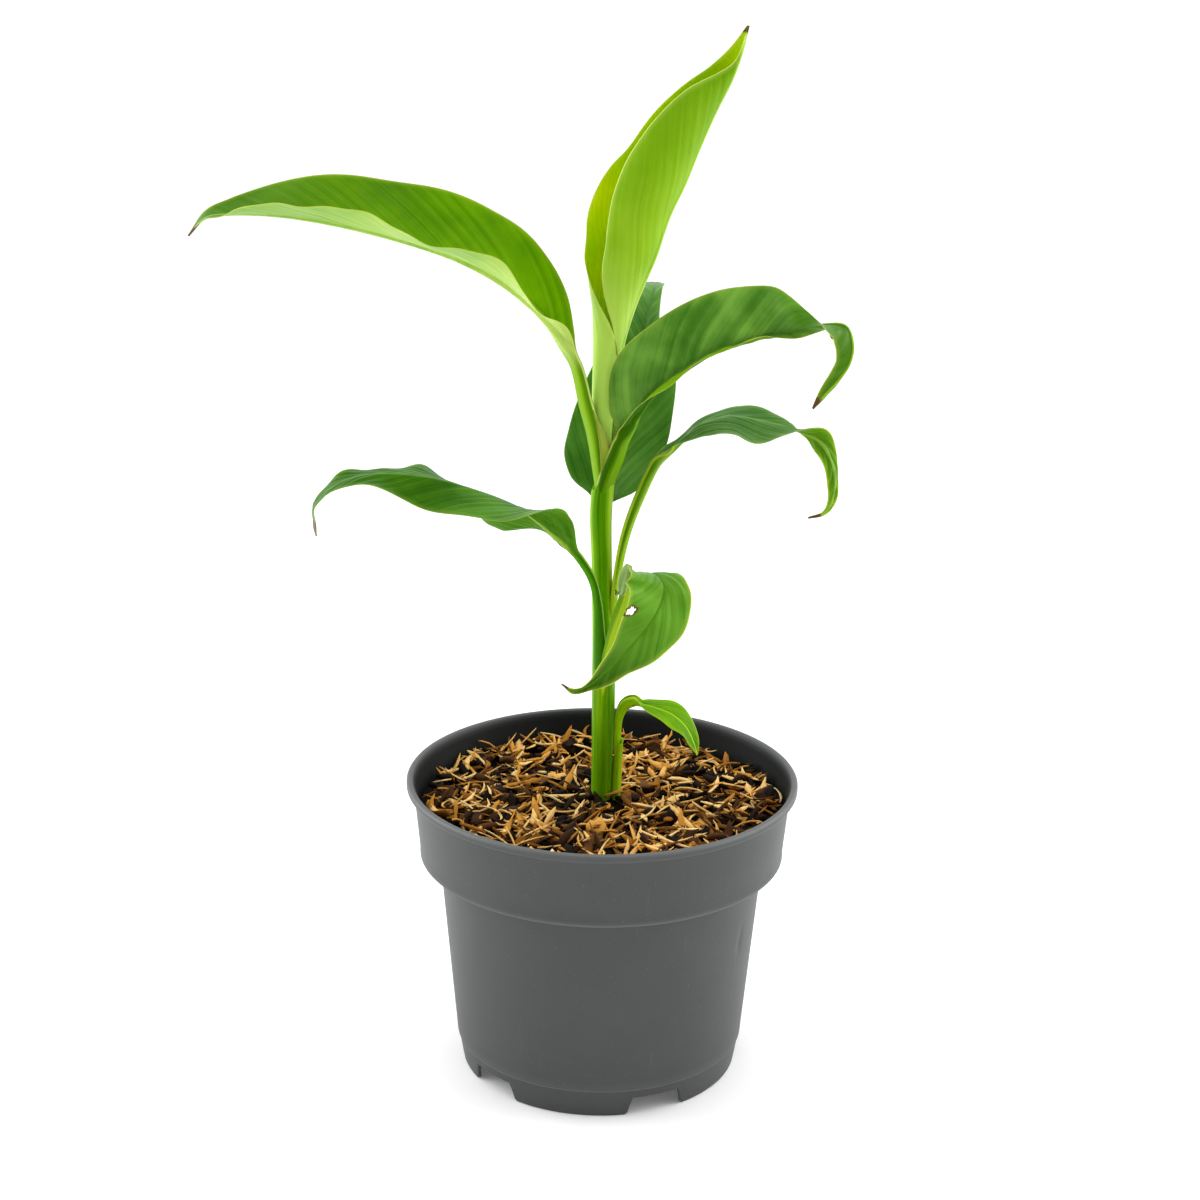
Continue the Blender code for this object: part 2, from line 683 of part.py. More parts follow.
def main():
    cutters = clear_scene()
    limbs = {
        "pseudostem": (Path(STEM), STEM_RADII, 0.0, 1.0, 13),
        "sucker_stem": (Path(SUCKER), SUCKER_RADII, 0.0, 1.0, 7),
    }
    for leaf in LEAVES:
        gap = 2 * BLADE_GAP / leaf.path.length
        limbs["petiole_" + leaf.name] = (
            leaf.path, leaf.petiole, 0.0, leaf.start - gap, 15
        )
    furled = LEAVES[1]
    rib, along, _, normal = furled.frame(np.zeros(1))
    roll_end = rib[0] + 5.6 * normal[0] - 2 * BLADE_GAP * along[0]
    roll = ((-2, 1, 279.4), (-2, 1, 295), (-2, 2, 312), (-1, 3, 330),
            tuple(roll_end - 4 * along[0]), tuple(roll_end))
    limbs["petiole_furled"] = (Path(roll), furled.petiole, 0.0, 1.0, 12)

    objects = {"pot": make_pot(cutters), "bark_mulch": make_mulch()}
    make_soil()
    for name, (path, radii, start, end, stations) in limbs.items():
        mesh = limb_mesh(name, path, radii, start, end, stations)
        objects[name] = add_object(name, mesh)
    for leaf in LEAVES:
        for piece, (start, end, stations) in enumerate(leaf.splits):
            half_gap = BLADE_GAP / (leaf.path.length * (1 - leaf.start))
            start += half_gap if start else 0.0
            end -= half_gap if end < 1 else 0.0
            name = "blade_" + leaf.name + ("_tip" if piece else "")
            points, faces = skin(leaf.solid(start, end, stations), True)
            objects[name] = add_object(name, mesh_of(name, points, faces))
    clear = {}
    for name, others in GIVES_WAY.items():
        for other in others:
            if other not in clear:
                path, radii, start, end, stations = limbs[other]
                mesh = limb_mesh(other + "_clear", path, radii, start, end, stations, CLEARANCE)
                clear[other] = add_object(other + "_clear", mesh, cutters)
            cut(objects[name], clear[other])


main()
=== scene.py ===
"""Dresses a young banana plant in a round nursery pot.

Sizes are in millimetres and become metres where a mesh is made. The origin is
the middle of the pot's underside, +Z is up and the camera looks along +Y.
Angles about an upright axis are in degrees from the front, growing to the
viewer's right.
"""

import json
import logging
import math
from collections.abc import Callable
from dataclasses import dataclass, field
from enum import IntEnum
from functools import partial

import bpy
import mathutils
import numpy as np
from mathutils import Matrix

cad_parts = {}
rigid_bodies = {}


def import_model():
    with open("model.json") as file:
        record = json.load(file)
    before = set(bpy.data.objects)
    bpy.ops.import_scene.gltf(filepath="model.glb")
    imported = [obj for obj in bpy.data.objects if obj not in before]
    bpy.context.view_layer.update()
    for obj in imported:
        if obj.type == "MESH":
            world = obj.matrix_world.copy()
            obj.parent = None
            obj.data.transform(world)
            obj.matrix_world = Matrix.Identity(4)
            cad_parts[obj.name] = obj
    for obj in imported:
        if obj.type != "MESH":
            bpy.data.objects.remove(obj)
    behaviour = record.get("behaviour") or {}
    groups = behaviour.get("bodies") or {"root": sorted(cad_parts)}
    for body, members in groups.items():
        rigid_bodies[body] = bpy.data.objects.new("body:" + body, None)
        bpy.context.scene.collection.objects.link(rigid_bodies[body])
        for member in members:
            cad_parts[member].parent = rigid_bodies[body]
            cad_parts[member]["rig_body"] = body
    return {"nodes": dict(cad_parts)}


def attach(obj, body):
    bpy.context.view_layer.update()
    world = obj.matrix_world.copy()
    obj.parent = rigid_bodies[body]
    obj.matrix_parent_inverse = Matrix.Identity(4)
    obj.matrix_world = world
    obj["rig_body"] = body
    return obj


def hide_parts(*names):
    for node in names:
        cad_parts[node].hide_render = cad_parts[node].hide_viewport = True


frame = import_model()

MM = 0.001
# points closer than this many metres are one point
SAME_POINT = 2e-6
Array = np.ndarray
Keys = tuple[tuple[float, float], ...]
Point = tuple[float, float, float]
Put = Callable[..., bpy.types.NodeSocket]
# the distance from a tear, in millimetres, that stands for none near
NO_TEAR = 10.0
# settings that many nodes share, and a colour mix's two colours and its result
SOFT = {"interpolation_type": "SMOOTHSTEP"}
WEIGHED = {"operation": "MULTIPLY_ADD"}
COLOURS = {"data_type": "RGBA"}
UNDER, OVER, MIXED = 6, 7, 2
# a range node's value, the two ends it is read between, and the most it gives
RANGE = (0, 1, 2, 4)
# warm gloss of the waxy cuticle on leaves and sheaths
WAX = "#ccdf30"
log = logging.getLogger("banana_plant")


class Half(IntEnum):
    """The halves of a blade, by the sign of their distance from the rib."""

    LEFT = 1
    RIGHT = -1


LEFT, RIGHT = Half


def linear(hex_colour: str) -> tuple[float, float, float, float]:
    """Turns an sRGB hex colour to linear light.

    Args:
        hex_colour: The colour as six hex digits after a hash.

    Returns:
        Red, green, blue and an alpha of one.
    """
    parts = [int(hex_colour[i : i + 2], 16) / 255 for i in (1, 3, 5)]
    return (*(p / 12.92 if p <= 0.04045 else ((p + 0.055) / 1.055) ** 2.4 for p in parts), 1.0)


def smooth(low: float, high: float, x: Array) -> Array:
    """A step from 0 at low to 1 at high with level ends: 3u^2 - 2u^3."""
    u = np.clip((x - low) / (high - low), 0.0, 1.0)
    return u * u * (3.0 - 2.0 * u)


def through(keys: Array | Keys, at: Array) -> Array:
    """A curve through keys, cubic between two, sloped at each as the mean of its sides.

    Args:
        keys: Rows of position and values.
        at: Positions to read.

    Returns:
        One row of values for each position.
    """
    table = np.asarray(keys, float)
    x, y = table[:, 0], table[:, 1:]
    gap = np.diff(x)
    slope = np.diff(y, axis=0) / gap[:, None]
    inner = slope[:-1] * gap[1:, None] + slope[1:] * gap[:-1, None]
    inner /= (gap[:-1] + gap[1:])[:, None]
    slopes = np.vstack([slope[:1], inner, slope[-1:]])
    at = np.clip(np.atleast_1d(at), x[0], x[-1])
    i = np.clip(np.searchsorted(x, at, side="right") - 1, 0, len(x) - 2)
    u = ((at - x[i]) / gap[i])[:, None]
    h = gap[i][:, None]
    return (
        (2 * u**3 - 3 * u**2 + 1) * y[i]
        + (u**3 - 2 * u**2 + u) * h * slopes[i]
        + (3 * u**2 - 2 * u**3) * y[i + 1]
        + (u**3 - u**2) * h * slopes[i + 1]
    )


def value(keys: Keys | float, at: Array) -> Array:
    """Reads one number for each position, from a constant or from keys.

    Args:
        keys: A constant, or rows of position and value.
        at: Positions to read, in an array of any shape.

    Returns:
        The numbers, in the shape of at.
    """
    if isinstance(keys, (int, float)):
        return np.full(at.shape, float(keys))
    return through(keys, at.reshape(-1))[:, 0].reshape(at.shape)


def four(*parts: Array) -> Array:
    """Stacks one to four numbers for each point, with ones for those not given."""
    return np.stack([*parts, *[np.ones(parts[0].shape)] * (4 - len(parts))], axis=-1)


class Path:
    """A smooth line through points, read by its share of the length."""

    def __init__(self, points: tuple[Point, ...]) -> None:
        """Samples the line and measures it.

        Args:
            points: The points it runs through, in millimetres.
        """
        table = np.asarray(points, float)
        chords = np.linalg.norm(np.diff(table, axis=0), axis=1) ** 0.5
        knots = np.concatenate([[0.0], np.cumsum(chords)])
        fine = np.linspace(0.0, knots[-1], 3000)
        self.line = through(np.column_stack([knots, table]), fine)
        steps = np.linalg.norm(np.diff(self.line, axis=0), axis=1)
        run = np.concatenate([[0.0], np.cumsum(steps)])
        self.length = float(run[-1])
        self.share = run / run[-1]
        self.share_of_point = np.interp(knots, fine, self.share)

    def at(self, share: Array) -> Array:
        """Points of the line at shares of its length."""
        return np.column_stack([np.interp(share, self.share, axis) for axis in self.line.T])

    def direction(self, share: Array, step: float = 0.004) -> Array:
        """Unit directions of the line at shares of its length, from points a step either way."""
        run = self.at(np.clip(share + step, 0, 1)) - self.at(np.clip(share - step, 0, 1))
        return run / np.linalg.norm(run, axis=1)[:, None]


def quads(mask: Array) -> Array:
    """Corners of a grid's cells, turned so that columns cross rows outward.

    Args:
        mask: True where a cell has a face.

    Returns:
        Four point numbers for each face.
    """
    rows, cols = np.nonzero(mask)
    width = mask.shape[1] + 1
    a = rows * width + cols
    return np.stack([a, a + 1, a + width + 1, a + width], axis=1)


def all_quads(points: Array) -> Array:
    """Corners of every cell of a grid of points."""
    return quads(np.ones((len(points) - 1, points.shape[1] - 1), bool))


def write_mesh(
    name: str, points: Array, faces: Array, flat: Array, place: Array,
    *materials: bpy.types.Material, slots: Array | None = None, weld: bool = True
) -> bpy.types.Object:
    """Makes an object from arrays and merges points that coincide.

    Args:
        name: The object's name.
        points: Points in millimetres, in an array of any shape, as are flat and place.
        faces: Four point numbers for each face.
        flat: Along and across for each point, kept as the UV map grain_mm.
        place: Four numbers for each point, kept as the attribute place.
        *materials: The materials by number.
        slots: The material number of each face, or None for the first.
        weld: True to merge points at seams and poles.

    Returns:
        The linked object, which rides on the root body.
    """
    mesh = bpy.data.meshes.new(name)
    mesh.vertices.add(points.size // 3)
    mesh.vertices.foreach_set("co", (points.reshape(-1) * MM).astype(np.float32))
    mesh.loops.add(faces.size)
    corners = faces.reshape(-1).astype(np.int32)
    mesh.loops.foreach_set("vertex_index", corners)
    mesh.polygons.add(len(faces))
    slots = np.zeros(len(faces)) if slots is None else slots
    for key, numbers in (
        ("loop_start", np.arange(0, faces.size, faces.shape[1], dtype=np.int32)),
        ("material_index", slots.astype(np.int32)), ("use_smooth", np.ones(len(faces), bool))
    ):
        mesh.polygons.foreach_set(key, numbers)
    grain = mesh.uv_layers.new(name="grain_mm").data
    grain.foreach_set("uv", flat.reshape(-1, 2)[corners].reshape(-1).astype(np.float32))
    four_numbers = mesh.attributes.new("place", "FLOAT_COLOR", "CORNER").data
    four_numbers.foreach_set(
        "color", place.reshape(-1, 4)[corners].reshape(-1).astype(np.float32)
    )
    for material in materials:
        mesh.materials.append(material)
    mesh.update(calc_edges=True)
    obj = bpy.data.objects.new(name, mesh)
    bpy.context.scene.collection.objects.link(obj)
    if weld:
        obj.modifiers.new("merge", "WELD").merge_threshold = SAME_POINT
        apply_modifiers(obj)
    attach(obj, "root")
    return obj


def apply_modifiers(obj: bpy.types.Object) -> None:
    """Bakes an object's modifiers into its mesh.

    Args:
        obj: The object.
    """
    graph = bpy.context.evaluated_depsgraph_get()
    old, name = obj.data, obj.data.name
    mesh = bpy.data.meshes.new_from_object(
        obj.evaluated_get(graph), preserve_all_data_layers=True, depsgraph=graph
    )
    obj.modifiers.clear()
    obj.data = mesh
    bpy.data.meshes.remove(old)
    mesh.name = name


def add(
    tree: bpy.types.NodeTree, kind: str, inputs: dict | None = None, out: int | str = 0,
    **settings: object
) -> bpy.types.NodeSocket:
    """Adds a node with its settings, and sets or links its inputs.

    Args:
        tree: The node tree.
        kind: The node's type name without its prefix.
        inputs: Input name or number, to a value, a hex colour or another node's output.
        out: The output to give back.
        **settings: Properties of the node.

    Returns:
        The chosen output, or the first input of a node without outputs.
    """
    node = tree.nodes.new("ShaderNode" + kind)
    for name, setting in settings.items():
        setattr(node, name, setting)
    for socket, source in (inputs or {}).items():
        if isinstance(source, bpy.types.NodeSocket):
            tree.links.new(source, node.inputs[socket])
        else:
            number = linear(source) if isinstance(source, str) else source
            node.inputs[socket].default_value = number
    return node.outputs[out] if node.outputs else node.inputs[0]


def start_material(name: str) -> tuple[bpy.types.Material, Put]:
    """Makes a material without nodes.

    Args:
        name: The material's name.

    Returns:
        The material, and the function add for its own tree.
    """
    material = bpy.data.materials.new(name)
    material.use_nodes = True
    material.node_tree.nodes.clear()
    return material, partial(add, material.node_tree)


@dataclass(frozen=True)
class LeafFinish:
    """Living banana leaf: waxy cuticle over soft green tissue.

    Gives the eye a broad soft gloss, fine lines along the side veins, and a
    thin paler rib and margin. Lengths are in millimetres. lean is how far a
    side vein runs along for each millimetre that it runs across. tip colours
    the far part of the blade, and heart, where it is given, the part near
    the stalk. keel_line gives the distances from the stalk's middle where
    its colour is all stalk_dark and all stalk; the mix between them is
    painted light and shade across the stalk, over its own stripes.
    """

    name: str
    dark: str
    light: str
    rib: str
    stalk: str
    # the stalk's darker stripes and its painted shade
    stalk_dark: str
    margin: str = "#a9c23c"
    dry: str = "#5a4022"
    roughness: float = 0.4
    vein_gap: float = 1.7
    lean: float = 1.2
    rib_width: float = 0.9
    dry_from: float = 0.985
    spots: float = 0.0
    contrast: float = 1.0
    glow: float = 0.08
    relief: float = 0.3
    specular: float = 0.25
    sheen: str = WAX
    tip: str = "#356a0a"
    heart: str = ""
    keel_line: tuple[float, float] = (2.4, 0.8)
    rim_width: float = 0.55
    streaks: float = 0.2

    def material(self) -> bpy.types.Material:
        """Builds the finish, which reads grain_mm and place.

        The tissue's tone is a weighed sum of patches 33 mm wide, of bands
        6 mm wide and of streaks one vein gap wide. Bands and streaks run
        with the side veins. The other colours are laid over it in turn, each
        through a mask of its own.

        Returns:
            The material.
        """
        material, put = start_material(self.name)
        flat = put("UVMap", uv_map="grain_mm")
        along, across = (put("SeparateXYZ", {0: flat}, axis) for axis in (0, 1))
        place = put("Attribute", out="Color", attribute_name="place")
        torn = put("Attribute", out="Alpha", attribute_name="place")
        reach, edge, low = (put("SeparateColor", {0: place}, part) for part in (0, 1, 2))
        body = put("TexCoord", out="Object")
        away = put("Math", {0: across}, operation="ABSOLUTE")
        vein = put("Math", {0: away, 1: -self.lean, 2: along}, **WEIGHED)
        drift = put("Math", {0: away, 1: 0.03}, operation="MULTIPLY")
        half = put("Math", {0: across}, operation="SIGN")
        lane = put("CombineXYZ", {0: vein, 1: drift, 2: half})
        slow = put("Math", {0: along, 1: 0.02}, operation="MULTIPLY")
        lengthways = put("CombineXYZ", {0: slow, 1: across})
        broad, streak, patch, stripe, crumb = (
            put("TexNoise", {"Vector": where, "Scale": scale, "Detail": detail})
            for where, scale, detail in (
                (lane, 0.16, 2.0), (lane, 1.0 / self.vein_gap, 3.0), (body, 30.0, 4.0),
                (lengthways, 0.5, 2.0), (body, 330.0, 2.0)
            )
        )
        tone = put("Math", {0: patch, 1: 0.75 - self.streaks}, operation="MULTIPLY")
        for source, weight in ((broad, 0.25), (streak, self.streaks)):
            tone = put("Math", {0: source, 1: weight, 2: tone}, **WEIGHED)
        stripe = put("Math", {0: stripe, 1: 0.5}, operation="SUBTRACT")
        stripe = put("Math", {0: stripe, 1: 4.0, 2: away}, **WEIGHED)
        worn = put("Math", {0: crumb, 1: 0.03, 2: reach}, **WEIGHED)
        spread = 0.15 / self.contrast
        tone, toward_tip, near, rib, stripe, fringe, rim, spot, worn, scar = (
            put("MapRange", dict(zip(RANGE, row)), **SOFT)
            for row in (
                (tone, 0.5 - spread, 0.5 + spread, 1.0),
                (reach, 0.35, 0.95, 0.8),
                (reach, 0.34, 0.12, 1.0),
                (away, self.rib_width, self.rib_width * 0.4, 1.0),
                (stripe, *self.keel_line, 1.0),
                (edge, 3.0, 0.5, 0.2),
                (edge, self.rim_width, self.rim_width * 0.4, 0.9),
                (crumb, 0.78 - self.spots, 0.81 - self.spots, 1.0),
                (worn, self.dry_from + 0.003, self.dry_from + 0.015, 1.0),
                (torn, 1.1, 0.4, 1.0),
            )
        )
        # painted light and shade across the stalk, mixed with its stripes, from stalk_dark to stalk
        stalk = put("Mix", {0: stripe, UNDER: self.stalk_dark, OVER: self.stalk}, MIXED, **COLOURS)
        blade = put("Math", {0: 1.0, 1: low}, operation="SUBTRACT")
        fringe = put("Math", {0: fringe, 1: blade}, operation="MULTIPLY")
        rim = put("Math", {0: rim, 1: fringe}, operation="MAXIMUM")
        worn = put("Math", {0: worn, 1: scar}, operation="MAXIMUM")
        # the far part of the blade takes the tip colour
        layers = [
            (tone, self.light), (toward_tip, self.tip), (near, self.heart), (rib, self.rib),
            (low, stalk), (rim, self.margin), (spot, self.dry if self.spots else ""),
            (worn, self.dry)
        ]
        colour = self.dark
        for mask, paint in layers:
            if paint != "":
                colour = put("Mix", {0: mask, UNDER: colour, OVER: paint}, MIXED, **COLOURS)
        ridge = put("Math", {0: broad, 1: 1.6, 2: streak}, **WEIGHED)
        bump = put("Bump", {"Strength": self.relief, "Distance": 0.0005, "Height": ridge})
        shader = put(
            "BsdfPrincipled",
            {
                "Base Color": colour, "Roughness": self.roughness, "Normal": bump, "IOR": 1.45,
                "Specular IOR Level": self.specular, "Specular Tint": self.sheen,
                "Subsurface Weight": self.glow, "Subsurface Radius": (0.5, 1.0, 0.15),
                "Subsurface Scale": 0.0015
            }
        )
        put("OutputMaterial", {0: shader})
        return material


@dataclass(frozen=True)
class StemFinish:
    """Rolled leaf sheaths: smooth, firm and ribbed lengthways.

    Gives the eye long fine stripes of pale and deep green and a satin gloss,
    laid over the painted light and shade that the stem gives in place.
    foot and height are where low has its full share and where high has.
    """

    name: str
    low: str
    high: str
    deep: str
    pale: str
    line: str
    foot: float = 130.0
    height: float = 290.0

    def material(self) -> bpy.types.Material:
        """Builds the finish, which reads grain_mm and place.

        The tone is the painted light and shade at each place plus a weighed sum
        of stripes 3 mm and 0.7 mm wide and of patches 17 mm wide, so deep and
        pale paint shade and highlight as well as stripes.

        Returns:
            The material.
        """
        material, put = start_material(self.name)
        flat = put("UVMap", uv_map="grain_mm")
        along, across = (put("SeparateXYZ", {0: flat}, axis) for axis in (0, 1))
        place = put("Attribute", out="Color", attribute_name="place")
        # the tone starts as the painted light and shade from place
        tone, edge = (put("SeparateColor", {0: place}, part) for part in (0, 1))
        body = put("TexCoord", out="Object")
        slow = put("Math", {0: along, 1: 0.02}, operation="MULTIPLY")
        lane = put("CombineXYZ", {0: slow, 1: across})
        broad, fine, patch = (
            put("TexNoise", {"Vector": where, "Scale": scale, "Detail": detail})
            for where, scale, detail in ((lane, 0.35, 2.0), (lane, 1.5, 2.0), (body, 60.0, 3.0))
        )
        for source, weight in ((broad, 0.55), (fine, 0.3), (patch, 0.15)):
            tone = put("Math", {0: source, 1: weight, 2: tone}, **WEIGHED)
        rise = put("MapRange", {0: along, 1: self.foot, 2: self.height})
        # deep and pale follow the tone: stripes, painted shade and painted highlight
        dark, light = (put("MapRange", {0: tone, 1: 0.5, 2: end}, **SOFT) for end in (0.28, 0.75))
        colour = self.low
        for mask, paint in (
            (rise, self.high), (dark, self.deep), (light, self.pale), (edge, self.line)
        ):
            colour = put("Mix", {0: mask, UNDER: colour, OVER: paint}, MIXED, **COLOURS)
        bump = put("Bump", {"Strength": 0.3, "Distance": 0.0003, "Height": fine})
        shader = put(
            "BsdfPrincipled",
            {
                "Base Color": colour, "Roughness": 0.38, "Normal": bump, "IOR": 1.45,
                "Specular IOR Level": 0.3, "Specular Tint": WAX, "Subsurface Weight": 0.08,
                "Subsurface Radius": (0.6, 1.0, 0.2), "Subsurface Scale": 0.002
            }
        )
        put("OutputMaterial", {0: shader})
        return material


@dataclass(frozen=True)
class PotPlastic:
    """Injection-moulded polypropylene with recycled grey pigment.

    Gives the eye a matt dark grey with a faint mottle, dust in the corners
    and thin upright rub marks. Inside and under the pot a darker grey is
    painted shade.
    """

    name: str = "moulded_polypropylene"
    base: str = "#292c2c"
    cloud: str = "#2d3030"
    dust: str = "#747878"
    # painted shade for the pot's inside and underside
    inside: str = "#151818"

    def material(self) -> bpy.types.Material:
        """Builds the finish, which reads place for rubbed edges and the inside, where it paints shade.

        The mottle is 36 mm wide, rub marks are 4 mm wide and 70 mm long,
        specks are 1 mm and the moulded grain 0.7 mm.

        Returns:
            The material.
        """
        material, put = start_material(self.name)
        place = put("Attribute", out="Color", attribute_name="place")
        worn, inner = (put("SeparateColor", {0: place}, part) for part in (0, 1))
        body = put("TexCoord", out="Object")
        upright = put("Mapping", {0: body, 3: (260.0, 260.0, 14.0)})
        mottle, streak, speck, grain = (
            put(
                "TexNoise",
                {"Vector": where, "Scale": scale, "Detail": detail, "Roughness": roughness}
            )
            for where, scale, detail, roughness in (
                (body, 28.0, 5.0, 0.6), (upright, 1.0, 3.0, 0.5), (body, 900.0, 1.0, 0.5),
                (body, 1500.0, 2.0, 0.5)
            )
        )
        mottle, streak, speck = (
            put("MapRange", dict(zip(RANGE, row)), **SOFT)
            for row in (
                (mottle, 0.35, 0.68, 1.0), (streak, 0.68, 0.85, 0.12), (speck, 0.72, 0.78, 0.25)
            )
        )
        colour = self.base
        # the last mix paints shade over the inside and underside
        for mask, paint in (
            (mottle, self.cloud), (streak, self.dust), (speck, self.dust), (worn, self.dust),
            (inner, self.inside)
        ):
            colour = put("Mix", {0: mask, UNDER: colour, OVER: paint}, MIXED, **COLOURS)
        shine = put("MapRange", {0: inner, 3: 0.7, 4: 0.1})
        bump = put("Bump", {"Strength": 0.12, "Distance": 0.0002, "Height": grain})
        shader = put(
            "BsdfPrincipled",
            {
                "Base Color": colour, "Roughness": 0.52, "Specular IOR Level": shine,
                "Normal": bump, "IOR": 1.49
            }
        )
        put("OutputMaterial", {0: shader})
        return material


@dataclass(frozen=True)
class GroundFinish:
    """Milled bark, wood fibre, potting earth or the painted shade in the mulch's gaps, by its colours.

    Gives the eye dry matt fragments, each with its own tone and fine grain
    along its length. The colours run from the darkest tone to the lightest.
    """

    name: str
    colours: tuple[tuple[float, str], ...]
    grain: float = 0.5
    roughness: float = 0.85

    def material(self) -> bpy.types.Material:
        """Builds the finish, which reads the tone of each fragment in place.

        Fibres are half a millimetre wide and eight times as long, and crumbs
        1.4 mm wide.

        Returns:
            The material.
        """
        material, put = start_material(self.name)
        flat = put("UVMap", uv_map="grain_mm")
        place = put("Attribute", out="Color", attribute_name="place")
        tone = put("SeparateColor", {0: place}, 0)
        body = put("TexCoord", out="Object")
        lane = put("Mapping", {0: flat, 3: (0.12, 1.0, 1.0)})
        fibre = put("TexNoise", {"Vector": lane, "Scale": 2.2, "Detail": 3.0})
        crumb = put("TexNoise", {"Vector": body, "Scale": 700.0, "Detail": 3.0})
        for source, weight in ((fibre, 0.2), (crumb, 0.3)):
            tone = put("Math", {0: source, 1: self.grain * weight, 2: tone}, **WEIGHED)
        tone = put("Math", {0: tone, 1: self.grain * 0.25}, operation="SUBTRACT")
        colour = put("ValToRGB", {0: tone})
        stops = colour.node.color_ramp.elements
        for at, _ in self.colours[2:]:
            stops.new(at)
        for stop, (at, paint) in zip(stops, self.colours):
            stop.position, stop.color = at, linear(paint)
        bump = put("Bump", {"Strength": 0.5, "Distance": 0.0004, "Height": crumb})
        shader = put(
            "BsdfPrincipled",
            {
                "Base Color": colour, "Roughness": self.roughness, "Specular IOR Level": 0.15,
                "Normal": bump, "IOR": 1.4
            }
        )
        put("OutputMaterial", {0: shader})
        return material


@dataclass(frozen=True)
class Wave:
    """A ripple of one half of a leaf that grows towards its margin.

    height and length are in millimetres, phase is in turns, and start and
    end are places along the blade.
    """

    half: Half
    height: float
    length: float
    phase: float = 0.0
    start: float = 0.0
    end: float = 1.0
    power: float = 2.0


@dataclass(frozen=True)
class Tear:
    """A ragged oval hole in a blade, placed in millimetres along and across."""

    along: float
    across: float
    half_along: float
    half_across: float
    turn: float = 0.0

    def gap(self, flat: Array) -> Array:
        """Rough distance outside the hole's edge.

        With u and w the offsets in half sizes, it is the smaller half size
        times (sqrt(u^2 + w^2) - 1 - a ragged sum of sines of the angle).

        Args:
            flat: Places in millimetres along and across.

        Returns:
            Distances in millimetres, negative inside the hole.
        """
        x, y = flat[..., 0] - self.along, flat[..., 1] - self.across
        turn = math.radians(self.turn)
        u = (x * math.cos(turn) + y * math.sin(turn)) / self.half_along
        w = (y * math.cos(turn) - x * math.sin(turn)) / self.half_across
        around = np.arctan2(w, u)
        ragged = 0.12 * np.sin(5 * around) + 0.08 * np.sin(9 * around)
        return min(self.half_along, self.half_across) * (np.hypot(u, w) - 1 - ragged)


@dataclass(frozen=True)
class Channel:
    """The walls of a stalk, from an open channel to a grip round the stem.

    Widths are in radii of the stalk and angles in degrees. The second
    number of a pair is what a full grip adds to the first.
    """

    reach: tuple[float, float] = (1.25, 1.6)
    curl: tuple[float, float] = (28, 76)
    open_angle: float = 50
    grip_angle: float = 4
    rise: float = 0.55
    keel: float = 1.15


